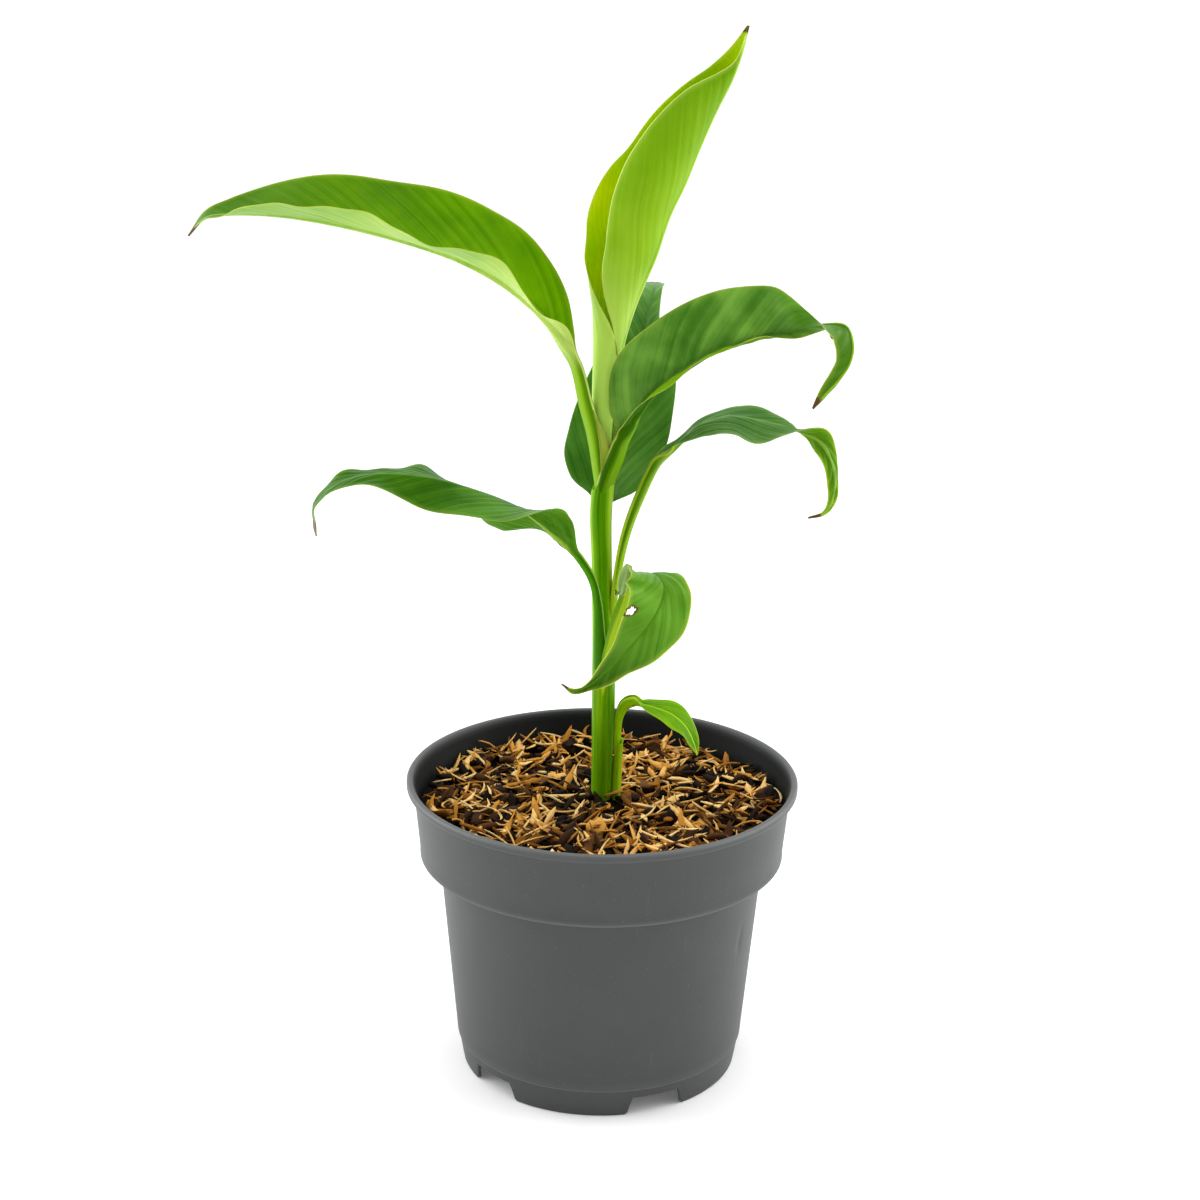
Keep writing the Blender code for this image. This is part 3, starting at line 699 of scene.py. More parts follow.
@dataclass
class Leaf:
    """A leaf from its grip on the stem to its tip.

    The blade hangs on a rib line. At each station two halves rise from the
    line at angles to its side direction, each an arc of its own curl, and
    the underside is the same sheet offset by its thickness and by a rounded
    keel. On the stalk the halves are the walls of a channel and the keel
    fills its width; where it grips, the halves reach round the stem.

    base is the number of the rib point where the blade starts, and side the
    way of its left half, or low_side on the lower stalk. shape is the blade's
    half width in shares of width, and left and right are the halves' angles
    in degrees. Their keys run along the blade, and those of stalk and of the
    grips along the stalk. band is how much the margin of the right half takes
    the stalk's colour, with the light and shade painted across it. joint is
    where the stalk turns into the blade, groove the depth and half width of
    the groove over the rib, and keel_half the half width of the keel at its
    broadest and at nothing.
    """

    name: str
    rib: tuple[Point, ...]
    base: int
    side: Point
    width: float
    shape: Keys
    left: Keys
    right: Keys
    stalk: Keys
    upper: LeafFinish
    under: LeafFinish
    nodes: tuple[str, ...]
    left_grip: Keys | float = 0.0
    right_grip: Keys | float = 0.0
    left_width: Keys | float = 1.0
    right_width: Keys | float = 1.0
    left_curl: Keys | float = 0.0
    right_curl: Keys | float = 0.0
    rib_depth: float = 2.4
    thickness: float = 0.45
    rolled: bool = False
    pleat: float = 0.22
    pleat_gap: float = 9.0
    waves: tuple[Wave, ...] = ()
    tears: tuple[Tear, ...] = ()
    low_side: Point | None = None
    stalk_fade: tuple[float, float] = (-0.03, 0.05)
    band: Keys | float = 0.0
    columns: int = 34
    step: float = 1.1
    taper: Keys = ((0, 1), (0.25, 0.72), (0.6, 0.4), (1, 0.1))
    joint: tuple[float, float] = (-0.015, 0.06)
    groove: tuple[float, float] = (0.5, 1.1)
    keel_half: tuple[float, float] = (2.6, 0.2)
    thinning: float = 0.55
    channel: Channel = Channel()
    path: Path = field(init=False)
    start: float = field(init=False)

    def __post_init__(self) -> None:
        """Measures the rib line."""
        self.path = Path(self.rib)
        self.start = float(self.path.share_of_point[self.base])

    def frame(self, b: Array) -> tuple[Array, Array, Array]:
        """Rib points and their two cross directions.

        Args:
            b: Places along, negative on the stalk and 1 at the tip.

        Returns:
            Rib points, side directions and upper normals.
        """
        at = self.start + (1.0 - self.start) * b
        along = self.path.direction(at)
        side = np.broadcast_to(np.asarray(self.side, float), along.shape)
        if self.low_side:
            mix = smooth(0.45, 0.95, self.stalk_share(b))[:, None]
            side = mix * side + (1 - mix) * np.asarray(self.low_side, float)
        normal = np.cross(along, side)
        normal /= np.linalg.norm(normal, axis=1)[:, None]
        return self.path.at(at), np.cross(normal, along), normal

    def stalk_share(self, b: Array) -> Array:
        """The share of the stalk passed at places along, from 0 to 1."""
        low = -self.start / (1 - self.start)
        return np.clip((b - low) / -low, 0.0, 1.0)

    def half(self, b: Array, v: Array, half: Half) -> tuple[Array, Array, Array]:
        """One half of the sheet with its waves.

        An arc of width w and curl c has the chord w*v*sinc(c*v/2) at the
        angle a + c*v/2 above the side direction. The half's angle, width,
        curl and grip are the fields whose names start with its own.

        Args:
            b: Places along, negative on the stalk and 1 at the tip.
            v: Shares of the way from the rib to the margin.
            half: Which half.

        Returns:
            Points, normals and distances from the rib.
        """
        rib, side, normal = self.frame(b)
        name = half.name.lower()
        angle, own, curl = (
            value(getattr(self, name + part), b) for part in ("", "_width", "_curl")
        )
        width = self.width * value(self.shape, b) * own
        if not self.rolled:
            walls = self.channel
            blade, share = smooth(*self.joint, b), self.stalk_share(b)
            grip, radius = value(getattr(self, name + "_grip"), share), value(self.stalk, share)
            reach = radius * (walls.reach[0] + walls.reach[1] * grip)
            open_angle = walls.open_angle * np.maximum(0, 1 - grip) + walls.grip_angle * grip
            width = blade * width + (1 - blade) * reach
            rib = rib + ((1 - blade) * walls.rise * radius)[:, None] * normal
            angle = blade * angle + (1 - blade) * open_angle
            curl = blade * curl + (1 - blade) * (walls.curl[0] + walls.curl[1] * grip)
        angle, curl = np.radians(angle)[:, None], np.radians(curl)[:, None]
        bend, away = curl * v, width[:, None] * v
        chord = away * np.sinc(bend / (2 * np.pi))
        turn = angle + bend / 2
        across = (half * side)[:, None]
        points = (
            rib[:, None]
            + (chord * np.cos(turn))[..., None] * across
            + (chord * np.sin(turn))[..., None] * normal[:, None]
        )
        face = angle + bend
        normals = -np.sin(face)[..., None] * across + np.cos(face)[..., None] * normal[:, None]
        return points + self.ripple(b, v, half, away)[..., None] * normals, normals, away

    def ripple(self, b: Array, v: Array, half: Half, away: Array) -> Array:
        """Height of the waves and pleats above the smooth form.

        A wave is height * v^power * sin(2 pi along / length). Pleats are low
        ridges along the side veins that fade at the rib and the margin.

        Args:
            b: Places along.
            v: Shares of the way from the rib to the margin.
            half: Which half.
            away: Distances from the rib.

        Returns:
            Heights in millimetres.
        """
        run = self.path.length * (1 - self.start) * b[:, None]
        height = np.zeros(away.shape)
        for wave in self.waves:
            if wave.half == half:
                window = smooth(wave.start, wave.start + 0.08, b)
                window = window * smooth(wave.end, wave.end - 0.08, b)
                turn = 2 * np.pi * (run / wave.length + wave.phase)
                height += wave.height * window[:, None] * v**wave.power * np.sin(turn)
        lane = (run - self.upper.lean * away) / self.pleat_gap
        pleat = np.sin(2 * np.pi * lane)
        pleat += 0.6 * np.sin(2 * np.pi * (0.61 * lane + 0.3 * half))
        fade = smooth(0.0, 0.1, b) * smooth(1.0, 0.85, b)
        hump = np.sin(np.pi * np.clip(v, 0, 1)) ** 0.7
        return height + self.pleat * fade[:, None] * pleat * hump

    def faces(self) -> tuple[Array, Array, Array, Array]:
        """Works out the sheet on a grid of rows along and columns across.

        Returns:
            Points of the upper face and the underside together, distances
            along and across, four numbers (the place along, the distance
            from the margin, the share of the stalk's colour and the distance
            from a tear), and a mask of the cells that aren't torn away.
        """
        low = -self.start / (1 - self.start)
        length = self.path.length * (1 - self.start)
        rows = int((1 - low) * length / self.step) + 2
        b = np.linspace(low, 1.0, rows)
        v = np.linspace(0.0, 1.0, self.columns + 1) ** 1.5
        right, left = self.half(b, v, RIGHT), self.half(b, v, LEFT)
        points, normals, away = (
            np.concatenate([sign * far[:, ::-1], near[:, 1:]], axis=1)
            for far, near, sign in zip(right, left, (1, 1, -1))
        )
        middle = left[1][:, 0] + right[1][:, 0]
        middle /= np.maximum(np.linalg.norm(middle, axis=1), 0.5)[:, None]
        # within about a millimetre of the rib both halves lean to their middle normal
        near = np.exp(-((away / 0.8) ** 2))[..., None]
        normals = near * middle[:, None] + (1 - near) * normals
        share = np.concatenate([v[::-1], v[1:]])
        blade, taper = smooth(self.joint[0], self.joint[1] + 0.02, b), value(self.taper, b)
        reach = np.maximum(np.abs(away).max(axis=1), 0.4)
        radius = value(self.stalk, self.stalk_share(b))
        spread = (1 - blade) * reach * 0.98
        spread += blade * (self.keel_half[0] * taper + self.keel_half[1])
        keel = (1 - blade) * radius * self.channel.keel + blade * self.rib_depth * taper
        if self.rolled:
            spread, keel = 2.0 * taper + self.keel_half[1], 0.5 * self.rib_depth * taper
        rounded = np.clip(1 - (away / spread[:, None]) ** 2, 0, 1) ** 0.6
        thin = self.thickness * (1 - self.thinning * share[None, :] ** 6)
        depth = thin + keel[:, None] * rounded
        sunk, half_width = self.groove
        groove = (sunk * taper * blade)[:, None] * np.exp(-((away / half_width) ** 2))
        flat = np.stack(np.broadcast_arrays((b * length)[:, None], away), axis=2)
        margin = [half[2][:, -1:] - half[2] for half in (right, left)]
        margin = np.concatenate([margin[0][:, :0:-1], margin[1]], axis=1)
        outer = (away < 0) * smooth(0.0, 0.15, share) * value(self.band, b)[:, None]
        stalk = np.maximum(smooth(self.stalk_fade[1], self.stalk_fade[0], b)[:, None], outer)
        keep = np.ones((rows - 1, points.shape[1] - 1), bool)
        middle_flat = (flat[1:, 1:] + flat[:-1, :-1]) / 2
        torn = np.full(away.shape, NO_TEAR)
        for tear in self.tears:
            keep &= tear.gap(middle_flat) > 0
            torn = np.minimum(torn, np.maximum(tear.gap(flat), 0))
        place = four(np.broadcast_to(b[:, None], away.shape), margin, stalk, torn)
        offsets = np.stack([groove, depth])[..., None]
        return points - offsets * normals, flat, place, keep

    def build(self) -> bpy.types.Object:
        """Makes the leaf as one closed sheet with two faces and its edges.

        Returns:
            The leaf's object.
        """
        points, flat, place, keep = self.faces()
        count, width = flat[..., 0].size, flat.shape[1]
        padded = np.pad(keep, 1)
        walls = []
        for shift, axis, start, stride in (
            (1, 0, 0, 1), (-1, 0, width, 1), (1, 1, 0, width), (-1, 1, 1, width)
        ):
            beyond = np.roll(padded, shift, axis=axis)[1:-1, 1:-1]
            rows, cols = np.nonzero(keep & ~beyond)
            a = rows * width + cols + start
            e = a + stride
            quad = np.stack([a, e, e + count, a + count], axis=1)
            walls.append(quad if (shift > 0) == (axis == 0) else quad[:, ::-1])
        upper = quads(keep)
        faces = np.concatenate([upper[:, ::-1], upper + count, *walls])
        slots = np.zeros(len(faces))
        slots[len(upper) : 2 * len(upper)] = 1
        obj = write_mesh(
            self.name, points, faces, np.stack([flat] * 2), np.stack([place] * 2),
            self.upper.material(), self.under.material(), slots=slots, weld=False
        )
        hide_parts(*self.nodes)
        return obj


@dataclass(frozen=True)
class SheathEdge:
    """The margin of a sheath on the stem: its angle runs with height.

    It steps out by step within the angle front, falls back to nothing at the
    angle back beyond it, lives between bottom and top, where it fades out
    over fade, and shows a pale line of the given strength and width.
    """

    keys: Keys
    step: float = 0.45
    back: float = 60.0
    top: float = 400.0
    bottom: float = 100.0
    line: float = 0.7
    front: tuple[float, float] = (2.5, 4.0)
    fade: tuple[float, float] = (6.0, 12.0)
    line_width: tuple[float, float] = (6.0, 1.0)

    def live(self, z: Array) -> Array:
        """How much of the edge there is at heights, from 0 to 1."""
        above = smooth(self.top, self.top - self.fade[0], z)
        return above * smooth(self.bottom, self.bottom + self.fade[1], z)


@dataclass
class Stem:
    """A stem of rolled sheaths: a tube whose radius steps at each sheath's edge.

    The radius at angle t and height z is the stem's own radius there plus,
    for each edge, a step that falls smoothly to nothing on its far side.
    low_shades and shades are painted light and shade by angle, below and above change.
    """

    name: str
    axis: tuple[Point, ...]
    radii: Keys
    finish: StemFinish
    rim: Keys
    edges: tuple[SheathEdge, ...]
    low_shades: Keys
    shades: Keys
    change: tuple[float, float] = (205, 235)
    wall: float = 0.6
    inside: float = 16.0
    columns: int = 200
    rows: int = 190
    mean_radius: float = 5.2

    def build(self) -> bpy.types.Object:
        """Makes the tube, its rim and a short way down its inside.

        Returns:
            The stem's object.
        """
        turn = np.linspace(-180, 180, self.columns + 1)
        low, high = self.axis[0][2], value(self.rim, turn)
        share = np.linspace(0, 1, self.rows)[:, None]
        z = low + (high[None, :] - low) * share
        centre = through(np.array([(p[2], p[0], p[1]) for p in self.axis]), z.reshape(-1))
        centre = centre.reshape(*z.shape, 2)
        radius, line = value(self.radii, z), np.zeros_like(z)
        for edge in self.edges:
            gap = (turn[None, :] - value(edge.keys, z)) % 360
            height = smooth(0, edge.front[0], gap) * smooth(edge.back, edge.front[1], gap)
            radius += edge.step * edge.live(z) * height
            line += edge.line * edge.live(z) * smooth(*edge.line_width, gap)
        # painted light and shade by angle round the stem, blended between its two tables by height
        upper = smooth(*self.change, z)
        shade = upper * value(self.shades, turn) + (1 - upper) * value(self.low_shades, turn)
        # a closed foot, then two rows over the rim and two down and across the inside
        order = np.concatenate([[0], np.arange(self.rows), [-1] * 4])
        z, radius, centre, shade, line = (rows[order] for rows in (z, radius, centre, shade, line))
        z[-4:] += np.array([0.3, 0.1, -self.inside, -self.inside])[:, None]
        radius[-4:-1] -= np.array([0.2, self.wall, 4 * self.wall])[:, None]
        radius[[0, -1]] = 0
        rad = np.broadcast_to(np.radians(turn), z.shape)
        points = np.stack(
            [centre[..., 0] + radius * np.sin(rad), centre[..., 1] - radius * np.cos(rad), z],
            axis=2
        )
        obj = write_mesh(
            self.name, points, all_quads(points), np.stack([z, rad * self.mean_radius], axis=2),
            four(shade, np.clip(line, 0, 1)), self.finish.material()
        )
        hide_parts(self.name)
        return obj


def corner_rows(*corners: tuple[float, float, tuple]) -> list[tuple[float, ...]]:
    """Rows of a profile.

    Args:
        *corners: Radius and height of a corner, and its rows of an offset
            from each, the rubbed share and the inside share.

    Returns:
        Rows of radius, height, rubbed share and inside share.
    """
    return [(r + x, z + y, *shares) for r, z, rows in corners for x, y, *shares in rows]


@dataclass
class Pot:
    """A round nursery pot with a wide collar and a notched foot.

    A profile of radius and height is turned about the upright axis. Below
    the seam its foot rises to the notch height over each notch. A hole is a
    prism from below the floor to above it. dent is the angle and height of
    its middle, its half sizes in degrees and millimetres, and its depth. A
    warp is how far the wall is out of round, the waves in a turn and their
    phase.
    """

    height: float = 147.3
    rim: float = 95.0
    lip: float = 4.0
    collar_top: float = 91.5
    collar_foot: float = 88.5
    collar_foot_z: float = 108.9
    body_top: float = 79.3
    seam: float = 70.7
    seam_z: float = 14.4
    foot: float = 67.8
    wall: float = 1.2
    floor_z: float = 10.4
    pad: float = 12.0
    notches: int = 5
    notch_first: float = 24.0
    notch_width: float = 25.0
    notch_slope: float = 2.6
    notch_height: float = 9.4
    holes: int = 8
    hole_radius: float = 4.5
    hole_circle: float = 44.0
    hole_reach: tuple[float, float] = (5.0, 14.0)
    dent: tuple[float, ...] = (61, 78, 1.6, 4.0, 0.7)
    warps: tuple[Point, ...] = ((0.25, 2, 0.7), (0.18, 3, 2.0))
    columns: int = 360
    finish: PotPlastic = PotPlastic()

    def outside(self) -> Array:
        """The profile's outer side from the lip's inner edge down to the seam.

        Returns:
            Rows of radius, height, rubbed share and inside share.
        """
        top, collar, body, seam = self.collar_top, self.collar_foot, self.body_top, self.seam
        lip, step = self.height - self.lip, self.collar_foot_z
        rows = corner_rows(
            (top, self.height, ((0.2, -0.9, 0, 0.5), (0.8, -0.2, 0.15, 0), (1.6, 0, 0.2, 0))),
            (
                self.rim, self.height,
                (
                    (-1.4, 0, 0.25, 0), (-0.5, -0.25, 0.4, 0), (-0.05, -0.9, 0.35, 0),
                    (0, -1.8, 0.1, 0)
                )
            ),
            (self.rim, lip, ((-0.05, 1, 0.05, 0), (-0.5, 0.3, 0.25, 0), (-1.2, 0, 0.1, 0))),
            (top, lip, ((0.8, -0.1, 0, 0), (0.2, -0.4, 0, 0), (-0.05, -1.2, 0, 0))),
            *(
                (top + (collar - top) * u, lip - 1.2 + (step + 2.0 - lip + 1.2) * u, ((0,) * 4,))
                for u in (0.25, 0.5, 0.75, 0.97)
            ),
            (
                collar, step,
                ((0.25, 1.6, 0.1, 0), (0.2, 0.6, 0.3, 0), (-0.4, 0.05, 0.3, 0), (-1.2, 0, 0, 0))
            ),
            (body, step, ((1, 0, 0, 0), (0.25, -0.3, 0, 0), (0, -1.2, 0, 0)))
        )
        share = np.linspace(0, 1, 22)[1:-1, None]
        start = np.array([body, step - 1.2, 0, 0])
        end = np.array([seam + 0.05, self.seam_z + 0.6, 0, 0])
        rows += list(start + (end - start) * share)
        offsets = ((0.1, 0.5, 0.1, 0), (0.05, 0.1, 0.5, 0), (-0.35, -0.1, 0.2, 0), (-0.5, -0.6, 0, 0))
        return np.array(rows + corner_rows((seam, self.seam_z, offsets)))

    def inside(self) -> Array:
        """The profile's underside out to the middle, then the inner side back to the lip.

        Returns:
            Rows of radius, height, rubbed share and inside share.
        """
        top, collar = self.collar_top - self.wall, self.collar_foot - self.wall
        inner, ledge = self.body_top - self.wall, self.collar_foot_z + self.wall
        slope = (self.body_top - self.seam) / (self.collar_foot_z - self.seam_z)
        corner = self.seam - self.wall - 1.5 * slope
        rows = (
            (self.foot - 1.6 + 0.9, self.floor_z), (self.pad + 1, self.floor_z), (self.pad, 0.4),
            (self.pad - 0.4, 0), (0, 0), (0, self.floor_z + self.wall),
            (corner - 1.5, self.floor_z + self.wall), (corner, self.floor_z + self.wall + 1.5),
            (inner, self.collar_foot_z + 0.6), (inner + 0.6, ledge), (collar - 0.5, ledge),
            (collar, ledge + 0.5), (top - 0.1, self.height - self.lip - 0.5, 0, 0.95),
            (top + 0.6, self.height - 2.4, 0, 0.9), (self.collar_top + 0.2, self.height - 0.9, 0, 0.5)
        )
        # rows without shares get the full inside share, painted shade on the underside and inner side
        return np.array([row if len(row) == 4 else (*row, 0, 1) for row in rows])

    def notch_line(self, turn: Array) -> Array:
        """Height of the foot's lower edge at angles: an S curve up each notch's two ends.

        Args:
            turn: Angles in degrees.

        Returns:
            Heights in millimetres.
        """
        gap = (turn - self.notch_first) % (360 / self.notches)
        gap = np.minimum(gap, 360 / self.notches - gap)
        inside = (self.notch_width / 2 - gap) / self.notch_slope
        return self.notch_height * smooth(0, 1, inside)

    def build(self) -> bpy.types.Object:
        """Turns the pot, then drills its drain holes.

        Returns:
            The pot's object.
        """
        turn = np.linspace(-180, 180, self.columns + 1)
        rise = self.notch_line(turn)
        top_r, top_z = self.seam - 0.5, self.seam_z - 0.6
        # the skirt runs straight down to its notched edge, which turns under
        z = top_z + (rise + 0.5 - top_z) * np.linspace(0, 1, 9)[1:, None]
        z = np.vstack([z, rise, rise])
        radius = self.foot + (top_r - self.foot) * z / top_z
        radius[-2:] -= np.array([[0.5], [1.6]])
        skirt = np.stack([radius, z, 0 * z, 0 * z], axis=2)
        skirt[-2, :, 2] = 0.3
        outside, inside = (
            np.repeat(side[:, None], len(turn), axis=1) for side in (self.outside(), self.inside())
        )
        # inner is the share of painted shade, on the inside and underside
        radius, z, rubbed, inner = np.moveaxis(np.concatenate([outside, skirt, inside]), 2, 0)
        rad = np.broadcast_to(np.radians(turn), z.shape)
        # only the wall warps, and the more the higher
        warp = sum(size * np.sin(waves * rad + phase) for size, waves, phase in self.warps)
        radius = radius + warp * smooth(20, 140, z) * (radius > 60)
        angle, height, wide, high, deep = self.dent
        dent = np.exp(-(((turn - angle) / wide) ** 2)) * np.exp(-(((z - height) / high) ** 2))
        radius = radius - deep * dent * (inner < 0.5)
        points = np.stack([radius * np.sin(rad), -radius * np.cos(rad), z], axis=2)
        obj = write_mesh(
            "nursery_pot", points, all_quads(points)[:, ::-1], np.stack([z, rad * radius], axis=2),
            four(rubbed, inner), self.finish.material()
        )
        self.drill(obj)
        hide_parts("pot")
        return obj

    def drill(self, pot: bpy.types.Object) -> None:
        """Cuts the drain holes: prisms of a circle on a circle.

        Args:
            pot: The turned pot.
        """
        turn = np.linspace(0, 2 * np.pi, 33)
        ring = self.hole_radius * np.stack([np.cos(turn), np.sin(turn)], axis=1)
        low, high = self.hole_reach
        levels = np.array([(0, low), (1, low), (1, high), (0, high)])[:, :, None, None]
        around = 2 * np.pi * (np.arange(self.holes) + 0.5) / self.holes
        middle = self.hole_circle * np.stack([np.sin(around), -np.cos(around)], axis=1)
        rings = middle[:, None, None] + levels[:, 0] * ring
        heights = np.broadcast_to(levels[:, 1], (*rings.shape[:3], 1))
        points = np.concatenate([rings, heights], axis=3)
        first = np.arange(self.holes)[:, None, None] * points[0, ..., 0].size
        faces = (all_quads(points[0]) + first).reshape(-1, 4)
        blank = np.zeros((*points.shape[:3], 4))
        material = pot.data.materials[0]
        cutter = write_mesh("drill", points, faces, blank[..., :2], blank, material)
        cut = pot.modifiers.new("holes", "BOOLEAN")
        cut.object, cut.operation, cut.solver = cutter, "DIFFERENCE", "EXACT"
        apply_modifiers(pot)
        bpy.data.objects.remove(cutter)


@dataclass
class MulchBed:
    """The earth under the loose mulch: a disc with a lumpy top, whose near-black colour is painted
    shade in the gaps between fragments.

    Height at (x, y) is the level plus a sum of sines of slow and quick waves.
    """

    level: float = 131.6
    radius: float = 89.2
    low: float = 122.6
    tone: float = 0.35
    columns: int = 288
    rows: int = 90
    # near-black colours that paint the shade in the gaps between fragments
    finish: GroundFinish = GroundFinish(
        "peat_with_painted_gap_shade", ((0.0, "#060403"), (0.5, "#120b05"), (1.0, "#2e1e10")), 1.0
    )

    def top(self, x: Array, y: Array) -> Array:
        """Height of the bed, which rises 2 mm round the stems.

        Args:
            x: Places to the right, in millimetres.
            y: Places to the back, in millimetres.

        Returns:
            Heights in millimetres.
        """
        waves = 0.9 * np.sin(x / 11 + 1.3) * np.cos(y / 13 + 0.4)
        waves += 0.6 * np.sin(x / 5.3 - y / 7.1)
        waves += 0.4 * np.sin(x / 2.9 + 0.7) * np.sin(y / 2.5 + 2.1)
        rise = 2.0 * smooth(16, 4, np.hypot(x - 3, y - 1))
        return self.level + waves + rise

    def build(self) -> bpy.types.Object:
        """Makes the disc with its edge and underside.

        Returns:
            The bed's object.
        """
        turn = np.radians(np.linspace(-180, 180, self.columns + 1))[None, :]
        radius = self.radius * np.linspace(0, 1, self.rows)[:, None]
        x, y = radius * np.sin(turn), -radius * np.cos(turn)
        edge = self.radius - 1.8
        foot = [edge * np.sin(turn), -edge * np.cos(turn), np.full_like(turn, self.low)]
        rim = np.stack(foot, axis=2)
        points = np.concatenate([np.stack([x, y, self.top(x, y)], axis=2), rim, rim * (0, 0, 1)])
        obj = write_mesh(
            "mulch_bed", points, all_quads(points)[:, ::-1], points[..., :2],
            four(np.full(points.shape[:2], self.tone)), self.finish.material()
        )
        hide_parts("bark_mulch")
        return obj


@dataclass
class Fragments:
    """Loose mulch of one kind, each fragment a short bent strip.

    A fragment's centre line is an arc of its own bend, and its section is a
    flattened ring whose width narrows to ragged ends. A pair of numbers is
    a range, but size is the beta law by which short ones are more common.
    bend, tilt and roll are the usual size of angles in radians, and tones
    holds the tone values to choose from. placed holds fragments given one by one.
    """

    name: str
    count: int
    length: tuple[float, float]
    width: tuple[float, float]
    thick: tuple[float, float]
    bend: float
    tilt: float
    lift: tuple[float, float]
    tones: tuple[float, ...]
    finish: GroundFinish
    seed: int
    bed: MulchBed
    sections: int = 6
    ring: int = 6
    size: tuple[float, float] = (1.3, 2.6)
    ragged: float = 0.3
    narrowest: float = 0.35
    widest: float = 1.7
    roll: float = 0.35
    sag: float = 0.10
    off_tone: float = 0.05
    reach: float = 87.0
    placed: tuple[tuple[float, ...], ...] = ()

    def scatter(self, random: np.random.Generator) -> Array:
        """Draws the fragments and adds those given one by one.

        Args:
            random: The source of random numbers.

        Returns:
            Rows of x, y, heading, length, width, thick, bend, tilt, roll,
            lift and tone, with a column for each fragment.
        """
        n = self.count
        around = random.uniform(0, 2 * np.pi, n)
        away = self.reach * np.sqrt(random.uniform(0.0, 1.0, n))
        heading = random.uniform(0, 2 * np.pi, n)
        spread = random.beta(*self.size, n)
        loose = [away * np.cos(around), away * np.sin(around), heading]
        loose.append(self.length[0] + (self.length[1] - self.length[0]) * spread)
        loose.append(random.uniform(*self.width, n) * (0.7 + 0.6 * spread))
        loose.append(random.uniform(*self.thick, n))
        loose += [random.normal(0, usual, n) for usual in (self.bend, self.tilt, self.roll)]
        loose.append(random.uniform(*self.lift, n))
        loose.append(random.choice(self.tones, n) + random.normal(0, self.off_tone, n))
        placed = np.array(self.placed).reshape(-1, len(loose)).T
        return np.concatenate([np.stack(loose), placed], axis=1)

    def tube(self) -> Array:
        """Faces of one fragment: rings of quads and two for each end cap.

        Returns:
            Four point numbers for each face.
        """
        k = np.arange(self.ring)
        after = (k + 1) % self.ring
        row = np.arange(self.sections - 1)[:, None] * self.ring
        sides = np.stack(
            [row + k, row + after, row + after + self.ring, row + k + self.ring], axis=2
        )
        caps = np.array([(0, 3, 2, 1), (0, 5, 4, 3), (0, 1, 2, 3), (0, 3, 4, 5)])
        caps[2:] += (self.sections - 1) * self.ring
        return np.concatenate([sides.reshape(-1, 4), caps])

    def build(self) -> bpy.types.Object:
        """Scatters the fragments over the bed and makes them one mesh.

        Returns:
            The fragments' object.
        """
        random = np.random.default_rng(self.seed)
        loose = self.scatter(random)
        n = loose.shape[1]
        x, y, heading, length, width, thick, bend, tilt, roll, lift, tone = loose[..., None]
        u = np.linspace(-0.5, 0.5, self.sections)
        angle = heading + bend * u
        step = length / (self.sections - 1)
        run = np.stack([np.cos(angle), np.sin(angle)], axis=2) * step[..., None]
        line = np.cumsum(run, axis=1)
        line -= line.mean(axis=1, keepdims=True)
        far = np.hypot(x + line[..., 0], y + line[..., 1]).max(axis=1, keepdims=True)
        shrink = np.minimum(1, (self.reach + 1.5 - 0.6 * width) / far)
        x, y = x * shrink, y * shrink
        sag = random.normal(0, self.sag, n)[:, None] * length * (0.25 - u**2)
        height = self.bed.top(x, y) + lift + sag
        height = height + np.sin(tilt) * u * length
        x, y = x + line[..., 0], y + line[..., 1]
        height = np.maximum(height, self.bed.top(x, y) + 0.1)
        centre = np.stack([x, y, height], axis=2)
        side = np.stack([-np.sin(angle), np.cos(angle), 0 * angle], axis=2)
        upward = np.array([0.0, 0.0, 1.0])
        cr, sr = np.cos(roll)[..., None], np.sin(roll)[..., None]
        across, normal = cr * side + sr * upward, cr * upward - sr * side
        ends = 1 - (2 * np.abs(u)) ** 3 * 0.8
        rough = 1 + self.ragged * random.normal(0, 1, (n, self.sections))
        half = 0.5 * width * ends * np.clip(rough, self.narrowest, self.widest)
        deep = 0.5 * thick * (0.55 + 0.45 * ends)
        t = np.linspace(0, 2 * np.pi, self.ring, endpoint=False)
        wide, high = half[..., None] * np.cos(t), deep[..., None] * np.sin(t)
        points = (
            centre[:, :, None]
            + wide[..., None] * across[:, :, None]
            + high[..., None] * normal[:, :, None]
        )
        size = self.sections * self.ring
        faces = (self.tube() + (np.arange(n) * size)[:, None, None]).reshape(-1, 4)
        tone = np.broadcast_to(tone[..., None], wide.shape)
        # the grain of each fragment starts elsewhere, by its tone
        flat = np.stack([(u * length)[..., None] + 40 * tone, wide + 13 * tone], axis=3)
        obj = write_mesh(
            self.name, points, faces, flat, four(tone), self.finish.material(), weld=False
        )
        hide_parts("bark_mulch")
        return obj


